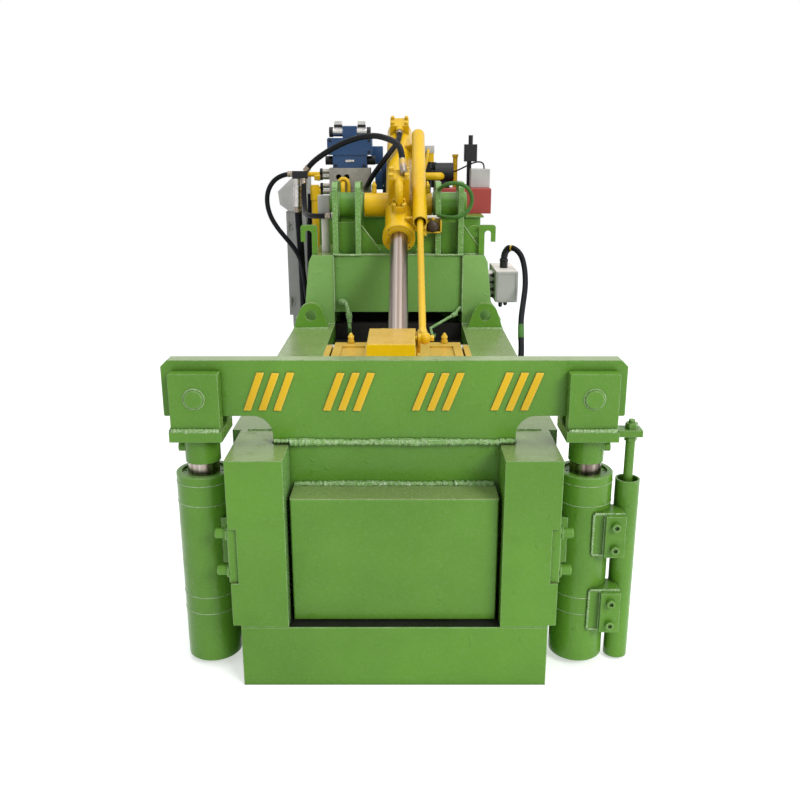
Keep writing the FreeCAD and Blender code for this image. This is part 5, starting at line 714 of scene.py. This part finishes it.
def beam_marks():
    """Four raised yellow marks of three slanted bars each, plain hazard striping."""
    bm = bmesh.new()
    corners = ((-12 - BAR_LEAN, 790), (10 - BAR_LEAN, 789), (12 + BAR_LEAN, 899), (-10 + BAR_LEAN, 900))
    for centre in MARK_CENTRES:
        for k in (-1, 0, 1):
            x = centre + k * BAR_PITCH
            outline = [(x + dx, z + random.uniform(-1, 1)) for dx, z in corners]
            back = [bm.verts.new((px / 1000, MARK_BACK / 1000, pz / 1000)) for px, pz in outline]
            face = [bm.verts.new((px / 1000, MARK_FACE / 1000, pz / 1000)) for px, pz in outline]
            bm.faces.new(back)
            bm.faces.new(face[::-1])
            for i in range(4):
                bm.faces.new((back[i], back[(i + 1) % 4], face[(i + 1) % 4], face[i]))
    bmesh.ops.recalc_face_normals(bm, faces=bm.faces)
    bmesh.ops.bevel(bm, geom=list(bm.edges), offset=0.0025, segments=2, profile=0.6, affect="EDGES")
    keep(bm, "beam_marks", "gate", "yellow")


# ------------------------------------------------------------------ small fittings
LEFT, RIGHT, FORWARD, UP, DOWN = (-1, 0, 0), (1, 0, 0), (0, -1, 0), (0, 0, 1), (0, 0, -1)


def grease_nipple(bm, base, high=1.0, wide=1.0):
    """A hexagon with a round body and a pointed cap; high and wide stretch the lid's size."""
    hexagon = [(0, 15), (13, 15), (14, 14)]
    cap = [(13, 12), (24, 12.5), (26, 14), (32, 13), (38, 8), (44, 5), (46, 2)]
    for profile, sides in ((hexagon, 6), (cap, 20)):
        lathe(bm, base, UP, [(along * high, radius * wide) for along, radius in profile], sides)


def lid_fittings():
    bm = bmesh.new()
    for x in (-200, 200):
        grease_nipple(bm, (x, 1290, 689))
    keep(bm, "lid_nipples", "lid", "yellow")


def barrel_fittings():
    """Nipples on the trunnions, the port blocks' screws and a boss for the position sensor."""
    bm = bmesh.new()
    for x in (-113, 137):
        grease_nipple(bm, (x, TRUNNION.y, 1289), 1.2, 0.86)
    for side in (-1, 1):
        for along in (218, 272):
            screw = [(0, 12), (4, 12), (5, 10.5), (20, 10.5), (22, 8)]
            lathe(bm, on_barrel(TRUNNION.x + side * 35, along, 180), SQUARE, screw, 20)
        for end in (-1, 1):
            screw = [(0, 8.5), (12, 8.5), (14, 6.5)]
            lathe(bm, on_barrel(TRUNNION.x + side * 21, 140 + end * 21, 93), SQUARE, screw, 6)
    lathe(bm, on_barrel(58, 110, -5), RIGHT, [(0, 13), (50, 13), (51, 12)], 20)
    keep(bm, "barrel_bolts", "lid_barrel", "yellow")


def shutoff_valve():
    """The small bracket on the tower's bearing plate, with its valve and lever."""
    bm = bmesh.new()
    plate(bm, (124, 1668, 1119), (199, 1706, 1126))
    plate(bm, (192, 1668, 1119), (199, 1706, 1178))
    plate(bm, (124, 1700, 1119), (199, 1707, 1180))
    plate(bm, (112, 1668, 1106), (130, 1674, 1158))
    for z in (1118, 1145):
        lathe(bm, (120, 1669, z), FORWARD, [(0, 9), (9, 9), (12, 6)], 16)
    lathe(bm, (160, 1688, 1176), UP, [(0, 9), (12, 9), (13, 8)], 6)
    keep(bm, "valve_bracket", "frame", "yellow")
    bm = bmesh.new()
    lathe(bm, (158, 1699, 1149), FORWARD, [(0, 24), (8, 26), (34, 26), (38, 22), (46, 22), (50, 14)], 28)
    keep(bm, "shutoff_valve", "frame", "rust")
    bm = bmesh.new()
    plate(bm, (130, 1680, 1187), (176, 1698, 1197), 2.0)
    plate(bm, (118, 1683, 1184), (226, 1696, 1189))
    keep(bm, "valve_lever", "frame", "beige")


def rod_knob():
    """The ball joint at the lower end of the lid's position sensor."""
    bm = bmesh.new()
    centre = Vector((98, 877, 801))
    ball = [(24 * math.sin(math.radians(a)), 24 * math.cos(math.radians(a))) for a in range(-75, 76, 15)]
    lathe(bm, centre + Vector((8, 0, 0)), RIGHT, ball, 28)
    lathe(bm, centre + Vector((30, 0, 0)), RIGHT, [(0, 13), (12, 13), (13, 12)], 6)
    lathe(bm, centre + ALONG * 18, ALONG, [(0, 16), (5, 19), (26, 19), (28, 17)], 6)
    keep(bm, "sensor_ball_joint", "lid_rod", "yellow")


def power_pack_fittings():
    """Trim of the valves, the manifold, the filter and the motor."""
    bm = bmesh.new()
    plate(bm, (VALVE_X - 23, 2411, 1419), (VALVE_X + 23, VALVE_FRONT, 1431), 1.2)
    keep(bm, "valve_plate", "frame", "bright")
    bm = bmesh.new()
    for x in (VALVE_X - 102, VALVE_X + 102):
        for z in (1470, 1527):
            lathe(bm, (x, VALVE_FRONT, z), FORWARD, [(0, 8), (6, 8), (7, 7)], 18)
    for x in (VALVE_X - 75, VALVE_X + 75):
        lathe(bm, (x, VALVE_FRONT, 1402), FORWARD, [(0, 7), (5, 7), (6, 6)], 18)
    for x in (-342, -218):      # seals under the solenoids' plugs
        plate(bm, (x - 1.2, 2458.8, 1594), (x + 41.2, 2501.2, 1610), 1.0)
    keep(bm, "valve_screws", "frame", "black")
    bm = bmesh.new()
    for z in (1265, 1342):
        lathe(bm, (-452, 2440, z), RIGHT, [(0, 19), (14, 19), (16, 22), (30, 22), (32, 19)], 6)
    bend = [
        (-322, 2386, 1262), (-322, 2386, 1300), (-316, 2386, 1322), (-302, 2386, 1334), (-286, 2386, 1334),
        (-272, 2386, 1324), (-267, 2386, 1306), (-267, 2386, 1262),
    ]
    sweep(bm, bend, lambda s: 11.0, 18)
    drain = [
        (158, 2504, 1480), (158, 2488, 1476), (154, 2480, 1460), (148, 2480, 1420), (134, 2480, 1370),
        (128, 2480, 1310),
    ]
    sweep(bm, drain, lambda s: 8.0, 16)
    keep(bm, "port_pipes", "frame", "yellow")
    bm = bmesh.new()
    plate(bm, (126, 2500, 1464), (190, 2564, 1503), 2.5)
    keep(bm, "side_valve_coil", "frame", "grey")
    bm = bmesh.new()
    plate(bm, (174.3, 2512, 1283.3), (214, 2552, 1342), 2.0)
    plate(bm, (174.3, 2510, 1380), (202, 2554, 1417), 2.0)
    keep(bm, "filter_base", "frame", "black")
    bm = bmesh.new()
    plate(bm, (-157, 2705, 1402), (-92, 2800, 1500), 4.0)
    plate(bm, (-136, 2705, 1264), (-92, 2790, 1362), 4.0)
    keep(bm, "motor_boxes", "frame", "blue")


def junction_fittings():
    """Cable glands and the lid's rim of the box on the tower's right side."""
    bm = bmesh.new()
    for z in (790, 822, 856, 890):
        lathe(bm, (472, 1930, z), LEFT, [(0, 13), (9, 13), (10, 10), (20, 10), (22, 7)], 12)
    for x, down in ((506, 30), (530, 22)):
        lathe(bm, (x, 1930, 768), DOWN, [(0, 15), (12, 15), (13, 11), (down, 10), (down + 6, 6)], 12)
    keep(bm, "junction_glands", "frame", "black")
    bm = bmesh.new()
    corners = ((481, 777), (571, 777), (571, 909), (481, 909), (481, 777))
    sweep(bm, divided([(x, 1850.5, z) for x, z in corners], 12), lambda s: 1.8, 6)
    keep(bm, "junction_rim", "frame", "grey")


def pit_pipes():
    """Green grease lines in the space behind the lid, with their union nuts."""
    right = [
        (290, 1696, 772), (262, 1660, 744), (150, 1606, 690), (160, 1580, 655), (170, 1650, 638),
        (174, 1716, 636),
    ]
    left = [
        (-262, 1696, 800), (-242, 1668, 792), (-230, 1640, 752), (-226, 1622, 690), (-228, 1660, 646),
        (-230, 1716, 640),
    ]
    bm = bmesh.new()
    sweep(bm, divided(right, 14), lambda s: 7.0, 12)
    lathe(bm, (262, 1660, 744), (0.85, 0.4, 0.35), [(-14, 12), (14, 12)], 6)
    sweep(bm, divided(left, 14), lambda s: 9.0, 12)
    lathe(bm, (-256, 1680, 798), (0.8, -0.6, -0.1), [(-22, 14), (-8, 16), (8, 16), (12, 12), (20, 12)], 6)
    lathe(bm, (-229, 1636, 744), (0.1, -0.3, -1), [(-14, 15), (14, 15), (16, 12), (34, 12)], 6)
    # The pipes take the flecked green, whose pale specks are painted highlights.
    keep(bm, "grease_lines", "frame", "highlight_fleck_green")


# ------------------------------------------------------------------ finish of the CAD nodes
def faces_up(x, y, z, n):
    return n.z > 0.9


def is_bearing_edge(x, y, z, n):
    """The front edges of the tower's bearing plates."""
    in_plate = any(near < abs(x) < far for near, far in BEARING_PLATES)
    return n.y < -0.5 and z > TOWER_TOP + 5 and y < 1800 and in_plate


def is_arch_fitting(x, y, z, n):
    """Over the front port block, the fitting of the arched hose."""
    offset = Vector((0, y - GLAND.y, z - GLAND.z))
    return offset.dot(SQUARE) > 181 and abs(offset.dot(ALONG) - ELBOW_ALONG) < 22


def is_open_port(x, y, z, n):
    """The bores of the two open ports in the manifold's front."""
    return 2401 < y < 2440 and abs(x + 298) < 37 and abs(z - 1342) < 16


def finishes():
    """Gives parts of the solids their own paint, plastic or bare metal, and painted light and shade: lit
    copies of the paint, painted sheen with dust on top faces, painted highlight specks and painted shade
    in the pit.
    """
    # Painted sheen, with dust: the green faces that look up get a paler green.
    for name in ("columns", "side_wall_left", "side_wall_right", "gate_beam", "tower_left", "tower_right"):
        repaint(name, (faces_up, "sheen_top_green"))
    # Painted sheen, with dust: the yellow faces that look up get a paler yellow.
    for name in ("guard_block", "lid_plate", "wall_liners"):
        repaint(name, (faces_up, "sheen_top_yellow"))
    for name in ("tower_left", "tower_right"):
        repaint(
            name,
            (lambda x, y, z, n: n.y < -0.5 and z < TOWER_TOP + 5, "wing_green"),
            # painted highlights: pale specks on the bearing plates' front edges
            (is_bearing_edge, "highlight_fleck_green"),
        )
    # Painted light: the guard block's front face gets the brighter yellow.
    repaint("guard_block", (lambda x, y, z, n: n.y < -0.9, "lit_front_yellow"))
    repaint("sill_beam", (lambda x, y, z, n: n.z > 0.7 and abs(x) < 300 and y > -120, "dark"))
    # Painted light: the left column's inner face gets the lighter, flecked green.
    repaint("columns", (lambda x, y, z, n: n.x > 0.7 and -301 < x < -290, "highlight_fleck_green"))
    # Painted sheen, with dust, on the gate block's sloping top.
    repaint("gate_panel", (lambda x, y, z, n: n.z > 0.5 and z < 600, "sheen_top_green"))
    repaint(
        "cross_plates",
        # painted light: the front faces get the lighter copy of the green
        (lambda x, y, z, n: n.y < -0.5, "lit_front_green"),
        # painted shade, with grease: the faces down in the pit, below z 745, turn near black
        (lambda x, y, z, n: z < 745, "dark"),
    )
    whole = {"gate_rods": "chrome_up", "ram_rod": "chrome_level", "control_console": "pale_grey"}
    for name, key in whole.items():
        NODES[name].data.materials[0] = MAT[key]
    repaint(
        "pilot_valve",
        (lambda x, y, z, n: abs(x - VALVE_X) > 38.5, "bright"),
        (lambda x, y, z, n: abs(x - VALVE_X) > 89, "black"),
        (lambda x, y, z, n: abs(x - VALVE_X) > 38.5 and z > 1627.5, "gauge"),
    )
    repaint("manifold", (is_open_port, "dark"))
    repaint("main_valve", (lambda x, y, z, n: abs(x - VALVE_X) > 91 and z < 1453, "black"))
    repaint("lid_cylinder", (is_arch_fitting, "ferrule"))
    repaint(
        "pipe_fittings",
        (lambda x, y, z, n: -422 < x < -407 and y > 2400, "black"),
        (lambda x, y, z, n: -546 < x < -467 and 1339 < z < 1379 and y < 2280, "black"),
        (lambda x, y, z, n: -546 < x < -500 and z < 1339 and y < 2280, "bright"),
    )
    repaint("switch_post", (lambda x, y, z, n: z > 1176.5, "grey"))
    repaint("side_valve", (lambda x, y, z, n: z < 1415, "black"))
    repaint("junction_box", (lambda x, y, z, n: z > 919.5, "black"), (faces_up, "beige"))


# ------------------------------------------------------------------ stage, in metres
FLOOR_HALF = 14.0
FLOOR_DROP = 0.0005     # under the machine's feet, so that the two don't coincide
FLOOR_WHITE = (0.93, 0.93, 0.93)
FLOOR_LIFT = 0.5        # brings the lit floor to white for the camera, while a shadow stays visible
SKY = (0.93, 0.96, 1.0)
SKY_LIGHT = 0.54
LAMPS = (               # name, place, aim, size and power in watts
    ("key", (5.2, -6.8, 6.2), (0, 1.0, 0.6), (3.6, 3.6), 510),
    ("top", (0.6, 1.2, 5.2), (0, 1.2, 0.6), (4.0, 5.0), 125),
)
PHOTO_PX = 800
FOCAL_PX = 870          # the photo's focal length, in its own pixels
SENSOR_MM = 36
CAMERA_SHIFT = -0.005
CAMERA_PLACE = (0.027, -2.361, 1.503)
CAMERA_DOWN_DEG = 16.3


def lay_floor():
    bm = bmesh.new()
    corners = ((-1, -1), (1, -1), (1, 1), (-1, 1))
    bm.faces.new([bm.verts.new((x * FLOOR_HALF, y * FLOOR_HALF, 0)) for x, y in corners])
    floor = add("floor", to_mesh("floor", bm))
    floor.location.z = -FLOOR_DROP
    m = Maker("pale_floor")
    m.set(Base_Color=FLOOR_WHITE, Roughness=0.85, Specular_IOR_Level=0.1)
    glow = m.node("ShaderNodeEmission")
    m.feed(glow.inputs["Strength"], m.times(m.looking(), FLOOR_LIFT))
    both = m.node("ShaderNodeAddShader")
    m.feed(both.inputs[0], m.shader.outputs[0])
    m.feed(both.inputs[1], glow.outputs[0])
    m.feed(m.output.inputs[0], both.outputs[0])
    floor.data.materials.append(m.material)


def sky():
    """A soft light from all round, which a ray that shows the background sees as white."""
    world = bpy.data.worlds.new("studio")
    bpy.context.scene.world = world
    w = Nodes(world)

    def background(colour, strength):
        made = w.node("ShaderNodeBackground")
        w.feed(made.inputs[0], colour)
        w.feed(made.inputs[1], strength)
        return made.outputs[0]

    blend = w.node("ShaderNodeMixShader")
    sources = w.looking(), background(SKY, SKY_LIGHT), background((1.0, 1.0, 1.0), 1.0)
    for socket, source in zip(blend.inputs, sources):
        w.feed(socket, source)
    w.feed(w.node("ShaderNodeOutputWorld").inputs[0], blend.outputs[0])


def lamps():
    for name, place, aim, size, power in LAMPS:
        data = bpy.data.lights.new(name, "AREA")
        data.shape = "RECTANGLE"
        data.size, data.size_y = size
        data.energy = power
        obj = add(name, data)
        obj.location = place
        obj.rotation_euler = (Vector(aim) - Vector(place)).to_track_quat("-Z", "Y").to_euler()


def camera():
    data = bpy.data.cameras.new("camera")
    data.lens = FOCAL_PX / PHOTO_PX * SENSOR_MM
    data.sensor_width = SENSOR_MM
    data.shift_x = CAMERA_SHIFT
    obj = add("camera", data)
    obj.location = CAMERA_PLACE
    obj.rotation_euler = (math.radians(90 - CAMERA_DOWN_DEG), 0, 0)
    bpy.context.scene.camera = obj


bpy.context.scene.view_settings.view_transform = "Standard"
camera()
lay_floor()
sky()
lamps()
finishes()
hoses()
# Beads and marks draw random numbers, so their order stays as it is.
frame_welds()
gate_welds()
beam_marks()
lid_fittings()
barrel_fittings()
shutoff_valve()
rod_knob()
power_pack_fittings()
junction_fittings()
pit_pipes()
